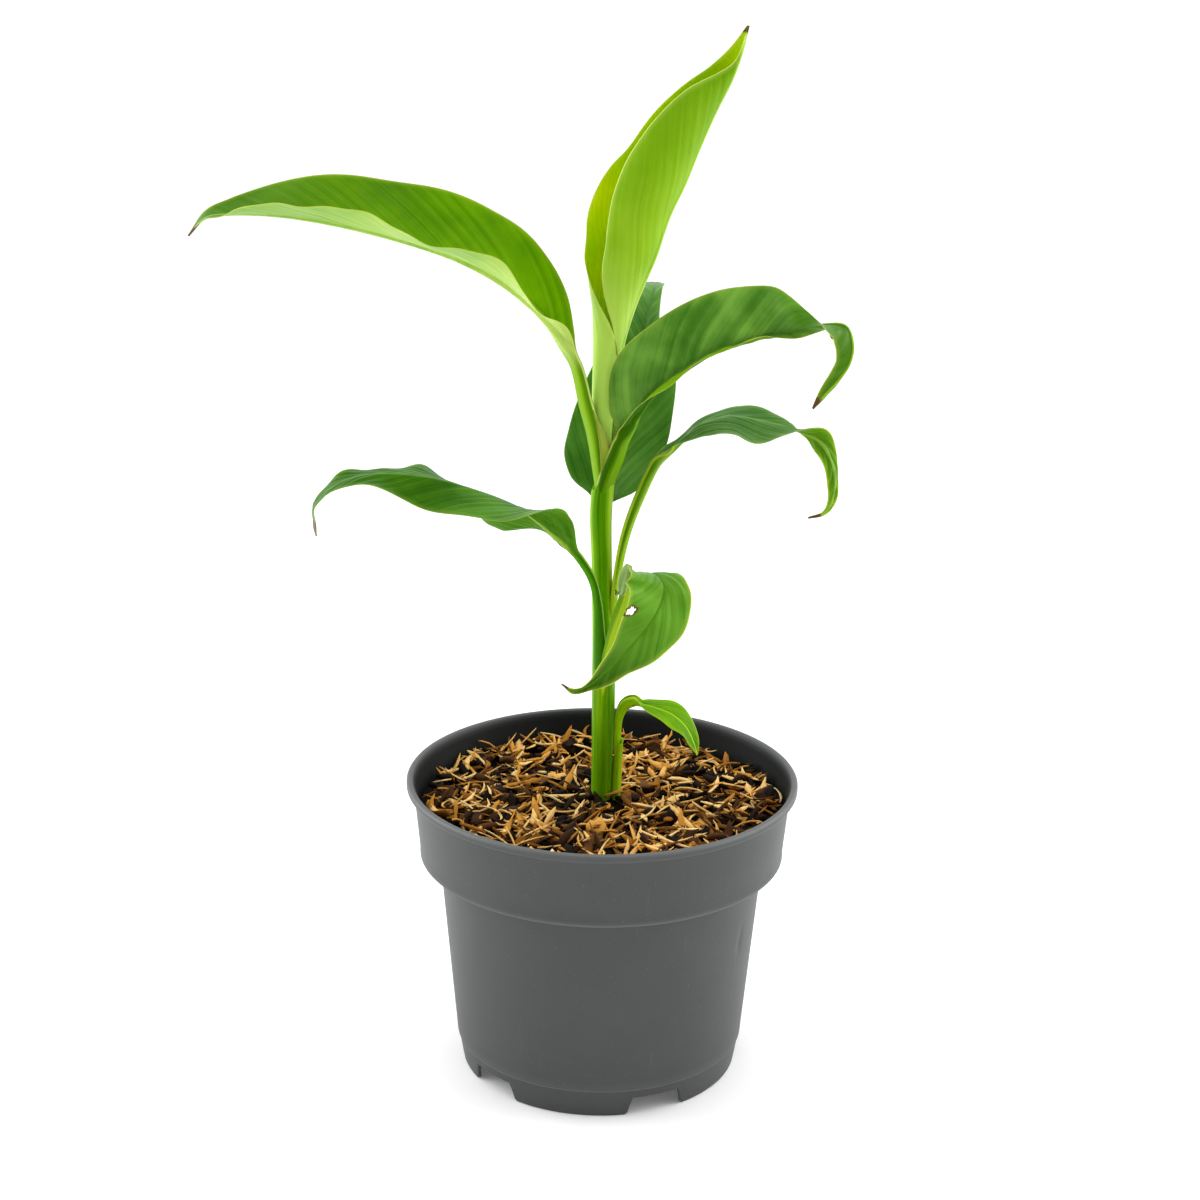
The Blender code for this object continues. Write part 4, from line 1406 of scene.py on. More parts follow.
@dataclass
class Studio:
    """The pale floor, the lights and the camera.

    A lamp is its name, its place in metres, its side in metres and its power
    in watts. All lamps face the point aim. air is the light from all around:
    the two heights between which it grows, and how strong it is there.
    """

    camera_at: Point = (0.0, -1.03602, 0.56967)
    look_down: float = 17.809
    roll: float = 0.758
    lens: float = 68.91
    shift: float = -0.00365
    aim: Point = (0, 0, 0.2)
    air: tuple[float, ...] = (-0.95, 0.15, 0.35, 1.3)
    lamps: tuple[tuple[str, Point, float, float], ...] = (
        ("softbox_left", (-1.2, 0.25, 0.7), 1.1, 11),
        ("softbox_right", (1.2, 0.2, 0.7), 1.1, 10),
        ("softbox_top", (0.1, -0.3, 1.9), 1.2, 6),
    )

    def floor(self) -> bpy.types.Object:
        """A pale disc far wider than the view, of matt paint.

        Returns:
            The floor's object.
        """
        turn = np.linspace(-np.pi, np.pi, 97)[None, :]
        radius = np.array([0, 300, 900, 3000, 20000.0])[:, None]
        points = np.stack([radius * np.sin(turn), -radius * np.cos(turn), 0 * radius * turn], axis=2)
        material, put = start_material("matt_white_paint")
        body = put("TexCoord", out="Object")
        mottle = put("TexNoise", {"Vector": body, "Scale": 3.0, "Detail": 2.0})
        colour = put("Mix", {0: mottle, UNDER: "#fafafa", OVER: "#fcfcfc"}, MIXED, **COLOURS)
        shader = put(
            "BsdfPrincipled",
            {
                "Base Color": colour, "Roughness": 0.9, "IOR": 1.3,
                "Emission Color": "#ffffff", "Emission Strength": 0.1
            }
        )
        put("OutputMaterial", {0: shader})
        blank = np.ones((points[..., 0].size, 4))
        obj = write_mesh("floor", points, all_quads(points)[:, ::-1], blank[:, :2], blank, material)
        obj.parent = None
        del obj["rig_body"]
        return obj

    def light(self, name: str, at: Point, size: float, power: float) -> None:
        """One square softbox.

        Args:
            name: The lamp's name.
            at: Its place in metres.
            size: Its side in metres.
            power: Its power in watts.
        """
        lamp = bpy.data.lights.new(name, "AREA")
        lamp.shape, lamp.size, lamp.energy = "SQUARE", size, power
        obj = bpy.data.objects.new(name, lamp)
        turn = (mathutils.Vector(self.aim) - mathutils.Vector(at)).to_track_quat("-Z", "Y")
        obj.matrix_world = mathutils.Matrix.Translation(at) @ turn.to_matrix().to_4x4()
        bpy.context.scene.collection.objects.link(obj)

    def build(self) -> None:
        """Sets the floor, world, softboxes and camera."""
        self.floor()
        scene = bpy.context.scene
        scene.view_settings.view_transform = "Standard"
        scene.world = bpy.data.worlds.new("studio_air")
        scene.world.use_nodes = True
        tree = scene.world.node_tree
        air = tree.nodes["Background"]
        air.inputs[0].default_value = linear("#ffffff")
        way = add(tree, "TexCoord", out="Generated")
        height = add(tree, "SeparateXYZ", {0: way}, 1)
        glow = add(tree, "MapRange", dict(enumerate((height, *self.air))), **SOFT)
        tree.links.new(glow, air.inputs[1])
        for lamp in self.lamps:
            self.light(*lamp)
        camera = bpy.data.cameras.new("camera")
        camera.sensor_fit, camera.sensor_width = "HORIZONTAL", 36.0
        camera.lens, camera.shift_x = self.lens, self.shift
        camera.clip_start, camera.clip_end = 0.05, 60.0
        obj = bpy.data.objects.new("camera", camera)
        obj.matrix_world = (
            mathutils.Matrix.Translation(self.camera_at)
            @ mathutils.Matrix.Rotation(math.radians(90 - self.look_down), 4, "X")
            @ mathutils.Matrix.Rotation(math.radians(self.roll), 4, "Z")
        )
        scene.collection.objects.link(obj)
        scene.camera = obj


UPPER_LEFT = Leaf(
    name="leaf_upper_left",
    rib=(
        (-2, -0.3, 282), (-4, -1, 298), (-7, -2, 317), (-11, -3, 332), (-16, -4, 352), (-27, -5, 371),
        (-45, -6, 387), (-65, -6, 398), (-85, -6, 405), (-118, -5, 413), (-148, -3, 417),
        (-171, -1, 417), (-182, 0, 415), (-190, 0, 407)
    ),
    base=4, side=(0, -1, 0), width=37,
    shape=(
        (0, 0.06), (0.06, 0.2), (0.13, 0.43), (0.2, 0.6), (0.27, 0.74), (0.34, 0.79), (0.52, 0.79),
        (0.65, 0.73), (0.8, 0.56), (0.9, 0.27), (1, 0.02)
    ),
    left=(
        (0, 70), (0.06, 36), (0.13, 8), (0.27, 18), (0.42, 12), (0.65, 24), (0.8, 17), (0.9, 6), (1, 11)
    ),
    right=((0, 70), (0.06, 58), (0.2, 50), (0.5, 45), (0.8, 34), (1, 17)),
    left_curl=((0, 20), (0.3, 10), (1, 0)), right_curl=((0, 20), (0.3, 10), (1, 0)), left_width=0.96,
    right_width=1.04, left_grip=((0, 0), (0.2, 0.2), (0.5, 0.1), (1, 0)),
    right_grip=((0, 0), (0.2, 0.2), (0.5, 0.1), (1, 0)),
    stalk=((0, 2.0), (0.3, 2.7), (0.5, 2.8), (1, 2.3)), rib_depth=2.8,
    upper=LeafFinish(
        "leaf_glossy_mid_green", "#3f7800", "#74aa00", "#8fb92a", "#80ae10", "#457a04", dry_from=0.975,
        lean=1.5, margin="#a3b030", specular=0.2, contrast=0.8, tip="#2f6400", keel_line=(1.0, 3.0)
    ),
    under=LeafFinish(
        "leaf_underside_pale", "#76a62a", "#a3c454", "#a8c66a", "#86b418", "#4f8406", roughness=0.5,
        dry_from=0.975, lean=1.5, margin="#c9d873", tip="#6f9c2c", heart="#b6d264"
    ),
    nodes=("blade_upper_left_tip", "petiole_upper_left", "blade_upper_left"), pleat=0.12,
    waves=(Wave(LEFT, 1.3, 52, 0.1), Wave(LEFT, 0.4, 19, 0.3), Wave(RIGHT, 0.8, 47, 0.4))
)

MEMBRANE = Leaf(
    name="leaf_upper_left_wing",
    rib=(
        (-6.4, -5.6, 330), (-5.6, -6, 326.6), (-4.2, -6.4, 320.6), (-2.9, -6.6, 313.6),
        (-2.3, -6.6, 306), (-2.4, -6, 299)
    ),
    base=1, side=(1, 0, 0), width=4.2, rolled=True,
    shape=((-0.2, 0.1), (0, 0.25), (0.3, 0.75), (0.6, 1), (0.85, 0.7), (1, 0.2)),
    left=((0, 0), (1, -5)), right=((0, 0), (1, 0)), left_curl=-20, right_width=0.1,
    stalk=((0, 1), (1, 1)), stalk_fade=(-0.6, -0.5), rib_depth=0.2, thickness=0.3, pleat=0.0,
    upper=LeafFinish(
        "sheath_membrane", "#86a02c", "#a9b84c", "#86a02c", "#86a02c", "#86a02c", margin="#a3a84c",
        tip="#6f9018", roughness=0.5, lean=4.0, dry_from=0.99
    ),
    under=LeafFinish(
        "sheath_membrane_back", "#86a02c", "#a9b84c", "#86a02c", "#86a02c", "#86a02c",
        margin="#9a7a4c", roughness=0.5
    ),
    nodes=("petiole_upper_left",), step=0.8, columns=12
)

FURLED = Leaf(
    name="leaf_furled",
    rib=(
        (1, 1, 281), (2, 2, 295), (2, 2, 311), (3, 3, 328), (5, 4, 348), (7, 5, 360), (11, 5, 374),
        (16, 6, 387), (21, 7, 399), (27, 9, 417), (34, 11, 432), (40, 13, 447), (47, 15, 463),
        (54, 17, 477), (58, 18, 488), (61, 19, 501)
    ),
    base=4, side=(0, 1, 0), width=34, rolled=True,
    shape=(
        (-0.4, 1), (0, 1), (0.45, 1), (0.6, 0.88), (0.7, 0.74), (0.8, 0.52), (0.88, 0.32),
        (0.95, 0.14), (1, 0.02)
    ),
    left=((-0.4, 0), (0, 0), (0.12, 0), (0.26, 12), (0.36, 30), (0.6, 32), (1, 40)),
    right=((-0.4, 0), (0, 0), (0.1, 4), (0.21, 20), (0.36, 30), (0.6, 30), (1, 40)),
    left_curl=(
        (-0.4, 352), (-0.1, 348), (0, 338), (0.12, 268), (0.2, 192), (0.26, 142), (0.36, 104),
        (0.6, 85), (1, 50)
    ),
    right_curl=(
        (-0.4, 15), (0, 15), (0.06, 50), (0.12, 75), (0.21, 100), (0.36, 95), (0.6, 85), (1, 50)
    ),
    left_width=((-0.4, 0.55), (-0.25, 0.7), (0, 1), (1, 1)),
    right_width=(
        (-0.4, 0.06), (0, 0.06), (0.06, 0.18), (0.12, 0.33), (0.21, 0.62), (0.34, 0.8),
        (0.45, 0.93), (0.6, 1.05), (0.7, 1.0), (0.78, 0.9), (0.85, 0.62), (0.9, 0.25), (1, 0.3)
    ),
    stalk=((0, 4.3), (1, 5.4)), stalk_fade=(-0.08, 0.24), rib_depth=1.6,
    upper=LeafFinish(
        "young_leaf_bright", "#b0cc00", "#d8dc00", "#b9d65a", "#a9d052", "#8fbb38", lean=3.0,
        margin="#c4cf4a", glow=0.25, tip="#8cac00", keel_line=(1.0, 3.0)
    ),
    under=LeafFinish(
        "young_leaf_pale", "#72a40c", "#96be2a", "#a0c83c", "#cbe878", "#b2da5c", roughness=0.36,
        lean=3.2, margin="#c6da6a", specular=0.25, tip="#5a8c00", heart="#a8cc4c", contrast=0.7
    ),
    nodes=("blade_furled", "petiole_furled"), columns=60, pleat=0.08, pleat_gap=13.0,
    waves=(Wave(LEFT, 0.7, 47, 0.2), Wave(RIGHT, 0.8, 39, 0.6, 0.3))
)

UPPER_RIGHT = Leaf(
    name="leaf_upper_right",
    rib=(
        (-0.8, 0, 282), (0.6, -1.2, 290.6), (2.8, -2.6, 298.9), (5.8, -3.8, 307.3),
        (8.3, -5, 315.8), (10.6, -6.2, 321.8), (13.6, -7.9, 328.6), (22, -10, 341), (33, -12, 350),
        (48, -14, 360), (65, -16, 366), (82, -17, 370), (97, -18, 373), (106, -20, 373),
        (109, -24, 366), (108, -26, 358), (104, -26, 351), (98, -24, 343), (93, -22, 336)
    ),
    base=4, side=(0, 1, 0), width=30,
    shape=(
        (0, 0.1), (0.06, 0.43), (0.14, 0.77), (0.27, 0.9), (0.42, 0.83), (0.55, 0.61), (0.64, 0.51),
        (0.71, 0.51), (0.78, 0.42), (0.86, 0.26), (0.93, 0.15), (1, 0.02)
    ),
    left=(
        (0, 98), (0.06, 84), (0.14, 79), (0.27, 71), (0.42, 70), (0.55, 87), (0.64, 143),
        (0.71, 189), (0.78, 226), (0.86, 243), (1, 270)
    ),
    right=(
        (0, 50), (0.05, 36), (0.12, 14), (0.2, 4), (0.42, 3), (0.55, -10), (0.64, -110),
        (0.71, -160), (0.78, -180), (0.86, -198), (1, -230)
    ),
    left_width=(
        (0, 0.92), (0.27, 0.94), (0.42, 1.02), (0.55, 1.2), (0.64, 1.2), (0.78, 0.92), (1, 0.95)
    ),
    right_width=(
        (0, 1), (0.06, 0.6), (0.14, 0.6), (0.23, 0.52), (0.27, 0.48), (0.33, 0.42), (0.37, 0.32),
        (0.48, 0.12), (0.55, 0.2), (0.64, 0.24), (0.78, 0.35), (1, 0.7)
    ),
    band=((0, 1), (0.4, 0.9), (0.6, 0)), stalk=((0, 2.4), (0.4, 3.5), (0.7, 3.6), (1, 3.1)),
    rib_depth=2.4,
    upper=LeafFinish(
        "leaf_glossy_deep_green", "#336c0c", "#78aa3e", "#4f8220", "#749e04", "#2c5f00",
        dry_from=0.97, lean=1.1, margin="#9aac3a", specular=0.4, roughness=0.34, sheen="#dcecb0",
        tip="#346600", keel_line=(0.9, 2.6), contrast=1.2, streaks=0.1
    ),
    under=LeafFinish(
        "leaf_underside_deep", "#3d7014", "#5f922c", "#86ae2a", "#6c9c08", "#2c5f00", roughness=0.5,
        dry_from=0.97, lean=1.1, margin="#a9b84a", tip="#346600", keel_line=(2.2, 1.0)
    ),
    nodes=("blade_upper_right_tip", "petiole_upper_right", "blade_upper_right"),
    waves=(Wave(LEFT, 1.0, 36, 0.2, 0.05, 0.7), Wave(RIGHT, 0.8, 30, 0.5, 0.05, 0.6))
)

BACK = Leaf(
    name="leaf_back",
    rib=(
        (-1, 3, 256), (-2, 7, 278), (0, 10, 287), (3, 14, 299), (7, 19, 315), (12, 25, 332),
        (16, 33, 350), (19, 44, 365), (22, 60, 375), (23, 85, 374), (21, 112, 363), (18, 132, 345),
        (16, 142, 328)
    ),
    base=1, side=(-1, 0, 0), width=27,
    shape=(
        (0, 0.1), (0.04, 0.5), (0.09, 0.79), (0.16, 0.86), (0.25, 0.82), (0.35, 0.68), (0.45, 0.36),
        (0.6, 0.42), (0.75, 0.36), (0.9, 0.2), (1, 0.02)
    ),
    left=((0, 11), (0.1, 6), (0.35, 14), (0.5, 0), (1, 0)),
    right=((0, 45), (0.09, 31), (0.2, 19), (0.45, 20), (0.55, 0), (1, 0)), left_width=1.05,
    right_width=((0, 0.95), (0.3, 0.97), (0.36, 0.9), (0.42, 0.64), (0.48, 0.5), (1, 0.8)),
    stalk=((0, 1.4), (1, 2.2)), rib_depth=1.8,
    upper=LeafFinish(
        "leaf_dark_blue_green", "#2c6010", "#5c9034", "#3f7224", "#5c8c22", "#3f6d14", lean=1.6,
        margin="#6f9440", specular=0.3, sheen="#dcecb0", tip="#24560c"
    ),
    under=LeafFinish(
        "leaf_underside_dark", "#3f7422", "#5f9240", "#7fa658", "#5c8c22", "#3f6d14", roughness=0.5,
        lean=1.6, margin="#86a24c"
    ),
    nodes=("blade_back_tip", "petiole_back", "blade_back"),
    waves=(Wave(LEFT, 1.2, 37, 0.2), Wave(RIGHT, 1.2, 33, 0.6))
)

MID_RIGHT = Leaf(
    name="leaf_mid_right",
    rib=(
        (2.5, -1, 177), (3.2, -1.3, 200), (4.2, -2, 228), (6.4, -3.5, 250), (10.5, -4, 271),
        (17, -2, 289), (24.5, 2, 304), (33, 5, 313), (43, 8, 321), (57, 10, 325), (74, 12, 322),
        (89, 13, 318), (98, 13, 314), (104, 11, 306), (107, 8, 296), (106, 5, 286), (102, 3, 280),
        (95, 2, 278)
    ),
    base=6, side=(0, 1, 0), width=22,
    shape=(
        (0, 0.1), (0.05, 0.2), (0.092, 0.36), (0.156, 0.68), (0.256, 0.74), (0.365, 0.69), (0.474, 0.5),
        (0.546, 0.34), (0.61, 0.24), (0.673, 0.21), (0.773, 0.21), (0.882, 0.1), (1, 0.02)
    ),
    left=(
        (0, 50), (0.05, 25), (0.092, 7), (0.365, 5), (0.474, 14), (0.546, 10), (0.61, -43),
        (0.673, -90), (1, -94)
    ),
    right=(
        (0, 45), (0.05, 10), (0.092, -10), (0.18, -9), (0.474, -12), (0.546, 0), (0.61, 40),
        (0.673, 110), (0.773, 145), (1, 90)
    ),
    right_width=((0, 1), (0.05, 0.5), (0.12, 0.6), (0.2, 1), (1, 1)),
    stalk=((0, 0.8), (0.2, 1.1), (0.5, 1.35), (0.8, 1.9), (1, 2.1)), rib_depth=2.2,
    upper=LeafFinish(
        "leaf_mid_green", "#2f6412", "#5c8c38", "#5c8c30", "#86b000", "#437400", dry_from=0.96,
        contrast=1.1, lean=3.0, margin="#8fa850", sheen="#dcecb0", tip="#447804", keel_line=(1.2, 2.2)
    ),
    under=LeafFinish(
        "leaf_underside_mid", "#457c0e", "#6f9c28", "#7fa63c", "#86b000", "#437400", roughness=0.5,
        dry_from=0.96, lean=3.0, margin="#a3c02a", tip="#447804", keel_line=(1.5, 0.7), rim_width=0.8
    ),
    nodes=("blade_mid_right_tip", "petiole_mid_right", "blade_mid_right"), pleat=0.35,
    waves=(Wave(LEFT, 0.9, 27, 0.2), Wave(RIGHT, 0.9, 31, 0.0))
)

LOWER_LEFT = Leaf(
    name="leaf_lower_left",
    rib=(
        (-1.8, -0.5, 167), (-2, -1, 188), (-2.5, -3.2, 206), (-2.9, -6.8, 223), (-3.6, -11.5, 238),
        (-6.6, -18, 253), (-14, -22, 266), (-23, -26, 277), (-33, -30, 287), (-44, -33, 294),
        (-61, -36, 301), (-79, -38, 306), (-97, -40, 308), (-112, -42, 307), (-123, -44, 302),
        (-131, -45, 293), (-131, -46, 287), (-130, -46, 280)
    ),
    base=6, side=(0.09, -1, 0), width=30,
    shape=(
        (0, 0.1), (0.06, 0.26), (0.13, 0.47), (0.2, 0.77), (0.28, 0.85), (0.38, 0.81), (0.5, 0.66),
        (0.62, 0.44), (0.75, 0.3), (0.88, 0.2), (0.97, 0.11), (1, 0.03)
    ),
    left=(
        (0, 100), (0.06, 96), (0.13, 60), (0.2, 30), (0.28, 0), (0.38, -17), (0.5, -38),
        (0.62, -45), (0.75, -8), (1, -20)
    ),
    right=((0, -55), (0.06, -30), (0.2, -46), (0.38, -33), (0.5, -9), (0.75, 2), (1, 14)),
    left_width=0.95, right_width=1.05,
    stalk=((0, 1.2), (0.25, 2.6), (0.4, 2.6), (0.55, 2.0), (0.7, 1.6), (1, 1.5)), rib_depth=2.2,
    upper=LeafFinish(
        "leaf_old_deep_green", "#205600", "#4b8018", "#4f8420", "#529c00", "#2c6400", dry_from=0.96,
        lean=2.4, margin="#8aa63c", sheen="#cfe470", tip="#2c6000", contrast=1.3, specular=0.18
    ),
    under=LeafFinish(
        "leaf_underside_old", "#386e0c", "#5a8c24", "#8fb038", "#468c00", "#2f6c00", roughness=0.5,
        specular=0.12, dry_from=0.96, lean=2.4, margin="#7aa030", tip="#2c6000",
        keel_line=(1.0, 0.2), rim_width=0.3
    ),
    nodes=("blade_lower_left_tip", "petiole_lower_left", "blade_lower_left"),
    waves=(Wave(LEFT, 1.0, 34, 0.3), Wave(RIGHT, 1.3, 38, 0.1), Wave(RIGHT, 0.6, 17, 0.3))
)

FRONT = Leaf(
    name="leaf_front",
    rib=(
        (-0.3, -1.6, 157), (-0.2, -2.6, 180), (0.6, -6, 201), (4.2, -12, 222), (8.6, -17.5, 240),
        (13, -22, 255), (22, -30, 260), (27, -40, 257), (26, -45, 251), (22, -50, 244), (11, -55, 231),
        (2, -57, 222), (-6, -58, 215), (-13, -58, 212), (-19, -58, 215)
    ),
    base=5, side=(0.74, 0.1, -0.66), low_side=(1, 0, 0), width=18,
    shape=(
        (0, 0.25), (0.1, 0.61), (0.2, 0.76), (0.35, 0.91), (0.5, 0.78), (0.65, 0.53), (0.8, 0.31),
        (0.9, 0.16), (1, 0.02)
    ),
    left=((0, 14), (0.1, 38), (0.2, 32), (0.35, 7), (0.65, -6), (0.8, -18), (1, -20)),
    right=((0, -4), (0.1, -38), (0.2, -22), (0.35, 0), (0.65, 15), (0.8, 40), (1, 20)),
    left_width=((0, 1.2), (0.2, 0.85), (0.5, 1.08), (1, 1.1)),
    right_width=((0, 0.8), (0.2, 1.2), (0.5, 0.92), (1, 0.9)),
    stalk=((0, 1.0), (0.2, 1.6), (0.45, 1.9), (0.8, 2.2), (1, 1.8)), rib_depth=1.4,
    upper=LeafFinish(
        "leaf_torn_mid_green", "#2c6400", "#649a2c", "#4a7c10", "#8fb418", "#6f9a10", spots=0.02,
        dry_from=0.97, lean=1.8, margin="#bccc54", rim_width=0.75, tip="#0e3a00", rib_width=0.7,
        specular=0.16
    ),
    under=LeafFinish(
        "leaf_underside_grey_green", "#86a650", "#a9c27c", "#a9c27c", "#94b414", "#5c8c08",
        roughness=0.55, dry_from=0.97, lean=1.8, margin="#c4cf8a", keel_line=(1.2, 0.5), rim_width=0.4
    ),
    nodes=("blade_front_tip", "petiole_front", "blade_front"), step=0.7, columns=40,
    waves=(Wave(LEFT, 0.9, 19, 0.2), Wave(RIGHT, 0.7, 23, 0.5)),
    tears=(Tear(46.0, -11.4, 2.7, 1.6, -25),)
)

FRONT_FOLD = Leaf(
    name="leaf_front_fold",
    rib=(
        (11.4, -24.5, 262), (10.4, -26, 260), (9.4, -27, 256.5), (8.4, -26.8, 252.4),
        (7.8, -25.8, 248.6), (6.4, -24.6, 247.2), (4.9, -24, 249.6)
    ),
    base=1, side=(0.9, 0, -0.4), width=3.0, rolled=True,
    shape=((-0.2, 0.4), (0, 0.8), (0.3, 1), (0.5, 0.8), (0.7, 0.6), (0.9, 0.5), (1, 0.1)),
    left=((0, -10), (1, -20)), right=((0, -10), (1, -20)), stalk=((0, 1), (1, 1)),
    stalk_fade=(-0.6, -0.5), rib_depth=0.2, pleat=0.0,
    # here tip and dry are dark greens, so the fold darkens towards its end
    upper=LeafFinish(
        "leaf_fold_grey_green", "#6f9444", "#b0c78c", "#a3bd7c", "#6f9440", "#6f9440",
        roughness=0.55, margin="#b4c880", tip="#124404", dry="#2c5c10"
    ),
    under=LeafFinish(
        "leaf_fold_inside", "#2f6600", "#5f9620", "#4a7c10", "#6f9440", "#6f9440", margin="#a9b84c"
    ),
    nodes=("blade_front",), step=0.4, columns=10
)

SUCKER_LEAF = Leaf(
    name="leaf_sucker",
    rib=(
        (7.2, 1.2, 152), (7.6, 1.2, 160), (7.7, 1, 170.5), (8.6, 0.5, 178), (11.3, 0, 183.3),
        (16.3, -1, 185.6), (25, -2, 184), (33, -3, 181), (40, -4, 175), (44, -5, 167), (46, -5, 160)
    ),
    base=5, side=(0, 1, 0), width=9,
    shape=((0, 0.2), (0.15, 0.73), (0.35, 1.08), (0.6, 1.0), (0.8, 0.57), (1, 0.03)),
    left=((0, 0), (0.3, 16), (0.6, 22), (1, 36)), right=((0, -4), (0.3, -16), (0.6, -19), (1, -24)),
    stalk=((0, 1.0), (0.3, 1.35), (0.6, 1.6), (0.78, 2.0), (0.9, 2.5), (1, 2.2)), rib_depth=0.9,
    upper=LeafFinish(
        "young_leaf_fresh", "#3f7a00", "#6ea200", "#9cc41c", "#8cc000", "#6a9c00", lean=2.6,
        margin="#a8c820", rib_width=0.6, tip="#3c7400", specular=0.06
    ),
    under=LeafFinish(
        "young_leaf_underside", "#6fa018", "#94bc3c", "#a3c454", "#98cc00", "#74a800",
        roughness=0.5, lean=2.6, margin="#b4d03c"
    ),
    nodes=("blade_sucker_tip", "petiole_sucker", "blade_sucker"), step=0.8, columns=22, pleat=0.12,
    pleat_gap=5.0, waves=(Wave(LEFT, 0.4, 17, 0.1), Wave(RIGHT, 0.4, 15, 0.4))
)

PSEUDOSTEM = Stem(
    name="pseudostem",
    axis=(
        (-0.3, 0, 122.3), (-0.3, 0, 134), (0.1, 0, 155), (0.4, 0, 190), (0.2, 0, 215), (-0.9, 0, 240),
        (-1.4, 0, 257), (-2.0, 0, 282), (-0.5, -1, 300), (2.5, -2.5, 318)
    ),
    radii=(
        (122, 4.7), (140, 4.6), (165, 5.0), (190, 5.4), (215, 5.3), (240, 4.7), (257, 4.6), (283, 5.0),
        (300, 4.9), (320, 4.6)
    ),
    finish=StemFinish("pseudostem_sheaths", "#5a9200", "#529400", "#2f6400", "#94bf14", "#b4cc5c"),
    rim=((-180, 298), (-100, 291), (-50, 292), (0, 300), (50, 298), (110, 294), (180, 298)),
    edges=(
        SheathEdge(((120, -100), (200, -92), (290, -80)), 0.35, 75),
        SheathEdge(((120, 8), (180, 10), (215, 22)), 0.2, 50, 215, line=0.12),
        SheathEdge(((215, 60), (300, 70)), 0.3, 60, 330, 225, line=0.8),
        SheathEdge(((120, 130), (300, 140)), 0.3, 90), SheathEdge(((120, -150), (300, -140)), 0.3, 90)
    ),
    # painted light and shade by angle round the stem, below and above change
    low_shades=(
        (-180, 0.0), (-88, -0.04), (-60, 0.04), (-35, 0.03), (0, -0.02), (25, -0.06), (60, 0.0),
        (90, 0.02), (180, 0.0)
    ),
    shades=(
        (-180, 0.0), (-88, 0.22), (-62, 0.14), (-38, 0.04), (-8, -0.08), (12, -0.06), (32, 0.12),
        (58, 0.28), (80, 0.25), (100, 0.1), (180, 0.0)
    )
)

SUCKER_STEM = Stem(
    name="sucker_stem",
    axis=((6.9, 0.5, 122.3), (6.9, 0.5, 134), (7.0, 1, 148), (7.6, 1.2, 158), (8.6, 1.2, 168)),
    radii=((122, 2.6), (140, 2.5), (156, 2.2), (168, 1.5)),
    finish=StemFinish(
        "sucker_sheaths", "#86b800", "#8cc000", "#6a9c00", "#a8cc20", "#b4d05c", height=170.0
    ),
    rim=((-180, 166), (-60, 169), (0, 164), (90, 166), (180, 166)),
    edges=(
        SheathEdge(((120, 30), (150, 0), (170, -30)), 0.25, 80),
        SheathEdge(((120, 130), (170, 140)), 0.25, 90)
    ),
    # painted light and shade by angle, darker to the left and brighter to the right
    low_shades=((-180, 0.0), (-60, -0.1), (0, 0.02), (60, 0.12), (180, 0.0)),
    shades=((-180, 0.0), (-60, -0.1), (0, 0.02), (60, 0.12), (180, 0.0)), columns=96, rows=60,
    inside=6.0
)

STRAW = GroundFinish(
    "split_wood_fibre",
    ((0.0, "#0c0602"), (0.25, "#40260b"), (0.5, "#915c1a"), (0.72, "#cf933c"), (1.0, "#f2ce88"))
)
BARK = GroundFinish(
    "milled_pine_bark", ((0.0, "#070402"), (0.3, "#1c0f06"), (0.6, "#452a13"), (1.0, "#8a5c2c"))
)
# x, y, heading, length, width, thick, bend, tilt, roll, lift and tone
CHIPS = (
    (-16.9, -1.5, 0.03, 25.0, 1.6, 1.4, 0.1, 0.05, 0.5, 6.2, 1.0),
    (38.4, -28.0, -1.2, 32.0, 2.6, 2.0, 0.35, -0.05, 0.4, 6.2, 0.84),
    (29.0, 36.0, -0.73, 16.0, 3.4, 2.2, 0.6, 0.0, 0.5, 6.6, 0.75),
    (38.0, 38.0, 1.0, 17.0, 3.0, 2.0, -0.5, 0.0, 0.5, 6.6, 0.8),
    (30.5, 27.0, -1.8, 13.0, 2.8, 2.0, 0.4, 0.0, 0.4, 6.2, 0.8),
    (-2.5, -38.0, 0.05, 9.5, 8.0, 2.0, 0.1, 0.0, 0.75, 6.5, 0.74),
    (-22.5, 25.0, -0.77, 12.0, 5.0, 2.0, 0.3, 0.2, 0.5, 5.5, 0.8)
)
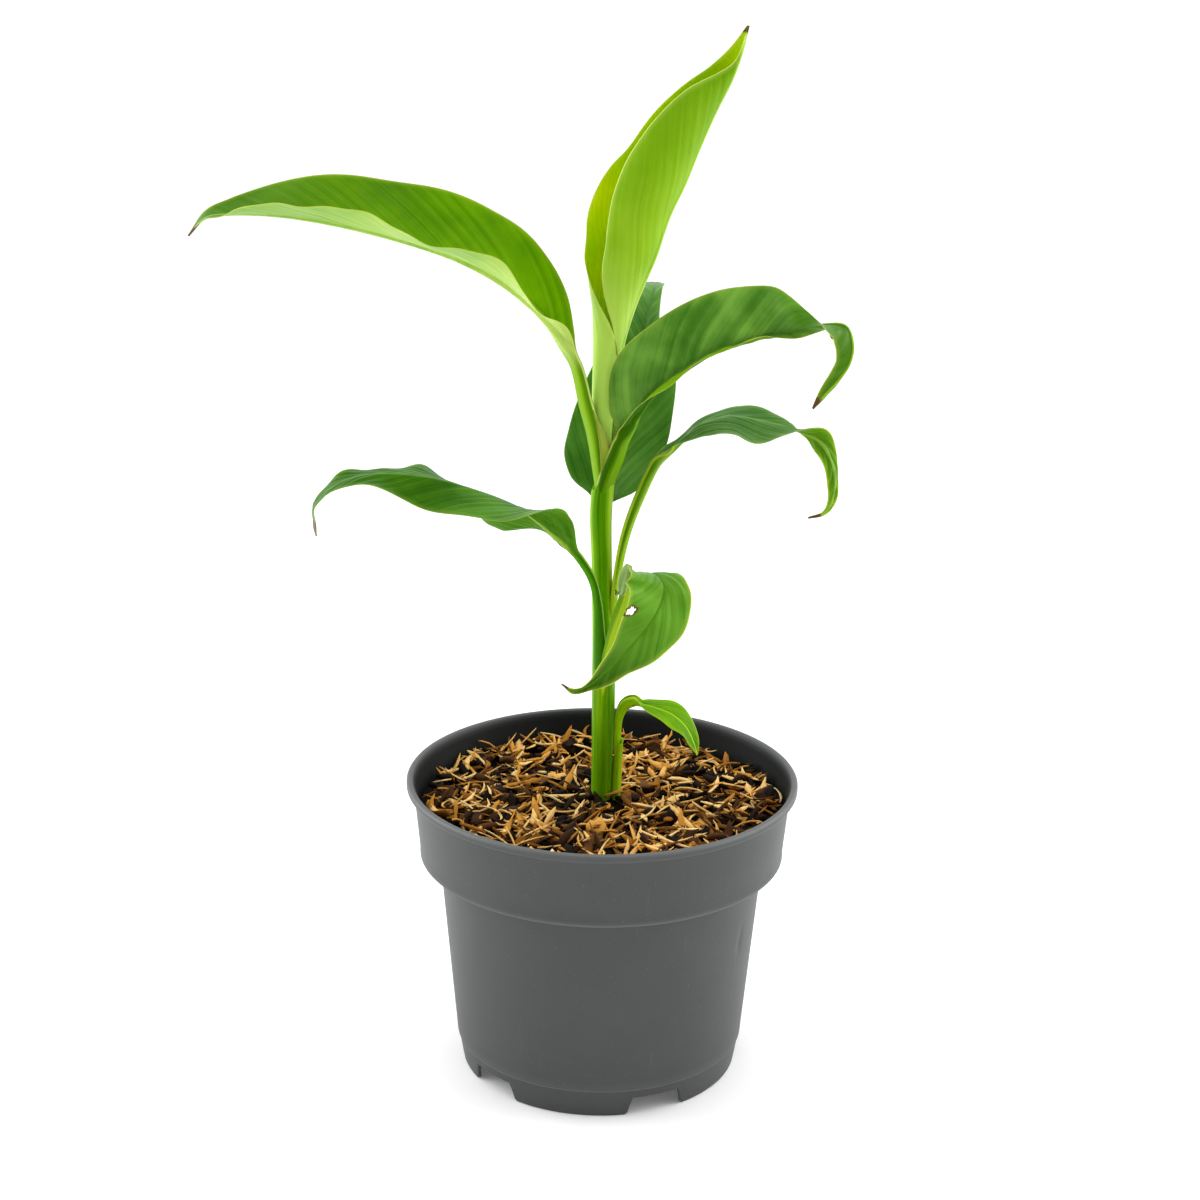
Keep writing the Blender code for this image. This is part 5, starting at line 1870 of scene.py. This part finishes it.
CURLS = (
    (2.4, -28.0, 0.0, 17.0, 1.7, 1.3, 5.6, 0.0, 0.4, 7.0, 1.0),
    (-49.0, 60.0, 0.4, 11.0, 1.1, 0.9, 0.5, 1.2, 0.2, 7.0, 0.8),
    (-40.0, 68.0, 0.2, 12.0, 1.1, 0.9, 0.4, 1.3, 0.1, 7.0, 0.85),
    (-74.0, 34.0, 0.9, 12.0, 1.2, 0.9, 0.9, 1.1, 0.2, 6.0, 0.8),
    (-65.0, -11.0, 0.6, 16.0, 1.4, 1.0, 1.6, 0.3, 0.2, 6.5, 1.0),
    (55.0, 11.0, 1.15, 20.0, 1.6, 1.1, 0.8, 0.1, 0.4, 6.5, 0.95),
    (-52.0, -26.0, 2.2, 20.0, 1.3, 1.0, 2.6, 0.2, 0.3, 7.0, 0.95),
    (-58.0, -20.0, 0.2, 18.0, 1.2, 0.9, 3.4, 0.2, 0.3, 7.5, 0.9),
    (44.0, 6.0, 2.6, 22.0, 1.4, 1.0, 3.0, 0.1, 0.3, 6.5, 0.9)
)
EARTH = GroundFinish("potting_earth", ((0.0, "#0b0806"), (0.5, "#21180f"), (1.0, "#4d3a26")), 1.0)


def main() -> None:
    """Builds the plant, the pot and the studio in order."""
    logging.basicConfig(level=logging.INFO, format="%(name)s: %(message)s")
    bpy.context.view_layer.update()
    bed = MulchBed()
    pieces = [
        Pot(), bed,
        Fragments(
            "mulch_bark", 330, (7, 17), (4.5, 10.0), (1.6, 4.2), 0.3, 0.4, (0.5, 4.6),
            (0.05, 0.15, 0.25, 0.4, 0.6), BARK, 5, bed
        ),
        Fragments(
            "mulch_splinters", 640, (7, 21), (2.0, 4.6), (0.8, 2.0), 0.9, 0.45, (1.2, 5.6),
            (0.15, 0.35, 0.55, 0.7, 0.9), STRAW, 6, bed, placed=CHIPS
        ),
        Fragments(
            "mulch_fibres", 430, (8, 25), (1.0, 2.0), (0.6, 1.2), 1.9, 0.5, (2.4, 6.6),
            (0.35, 0.55, 0.7, 0.85, 1.0), STRAW, 7, bed, placed=CURLS
        ),
        PSEUDOSTEM, SUCKER_STEM, UPPER_LEFT, FURLED, UPPER_RIGHT, BACK, MID_RIGHT, LOWER_LEFT,
        FRONT, FRONT_FOLD, MEMBRANE, SUCKER_LEAF
    ]
    for piece in pieces:
        obj = piece.build()
        log.info("%s: %d faces", obj.name, len(obj.data.polygons))
    soil = frame["nodes"]["potting_soil"]
    soil.data.materials.clear()
    soil.data.materials.append(EARTH.material())
    Studio().build()


if __name__ == "__main__":
    main()
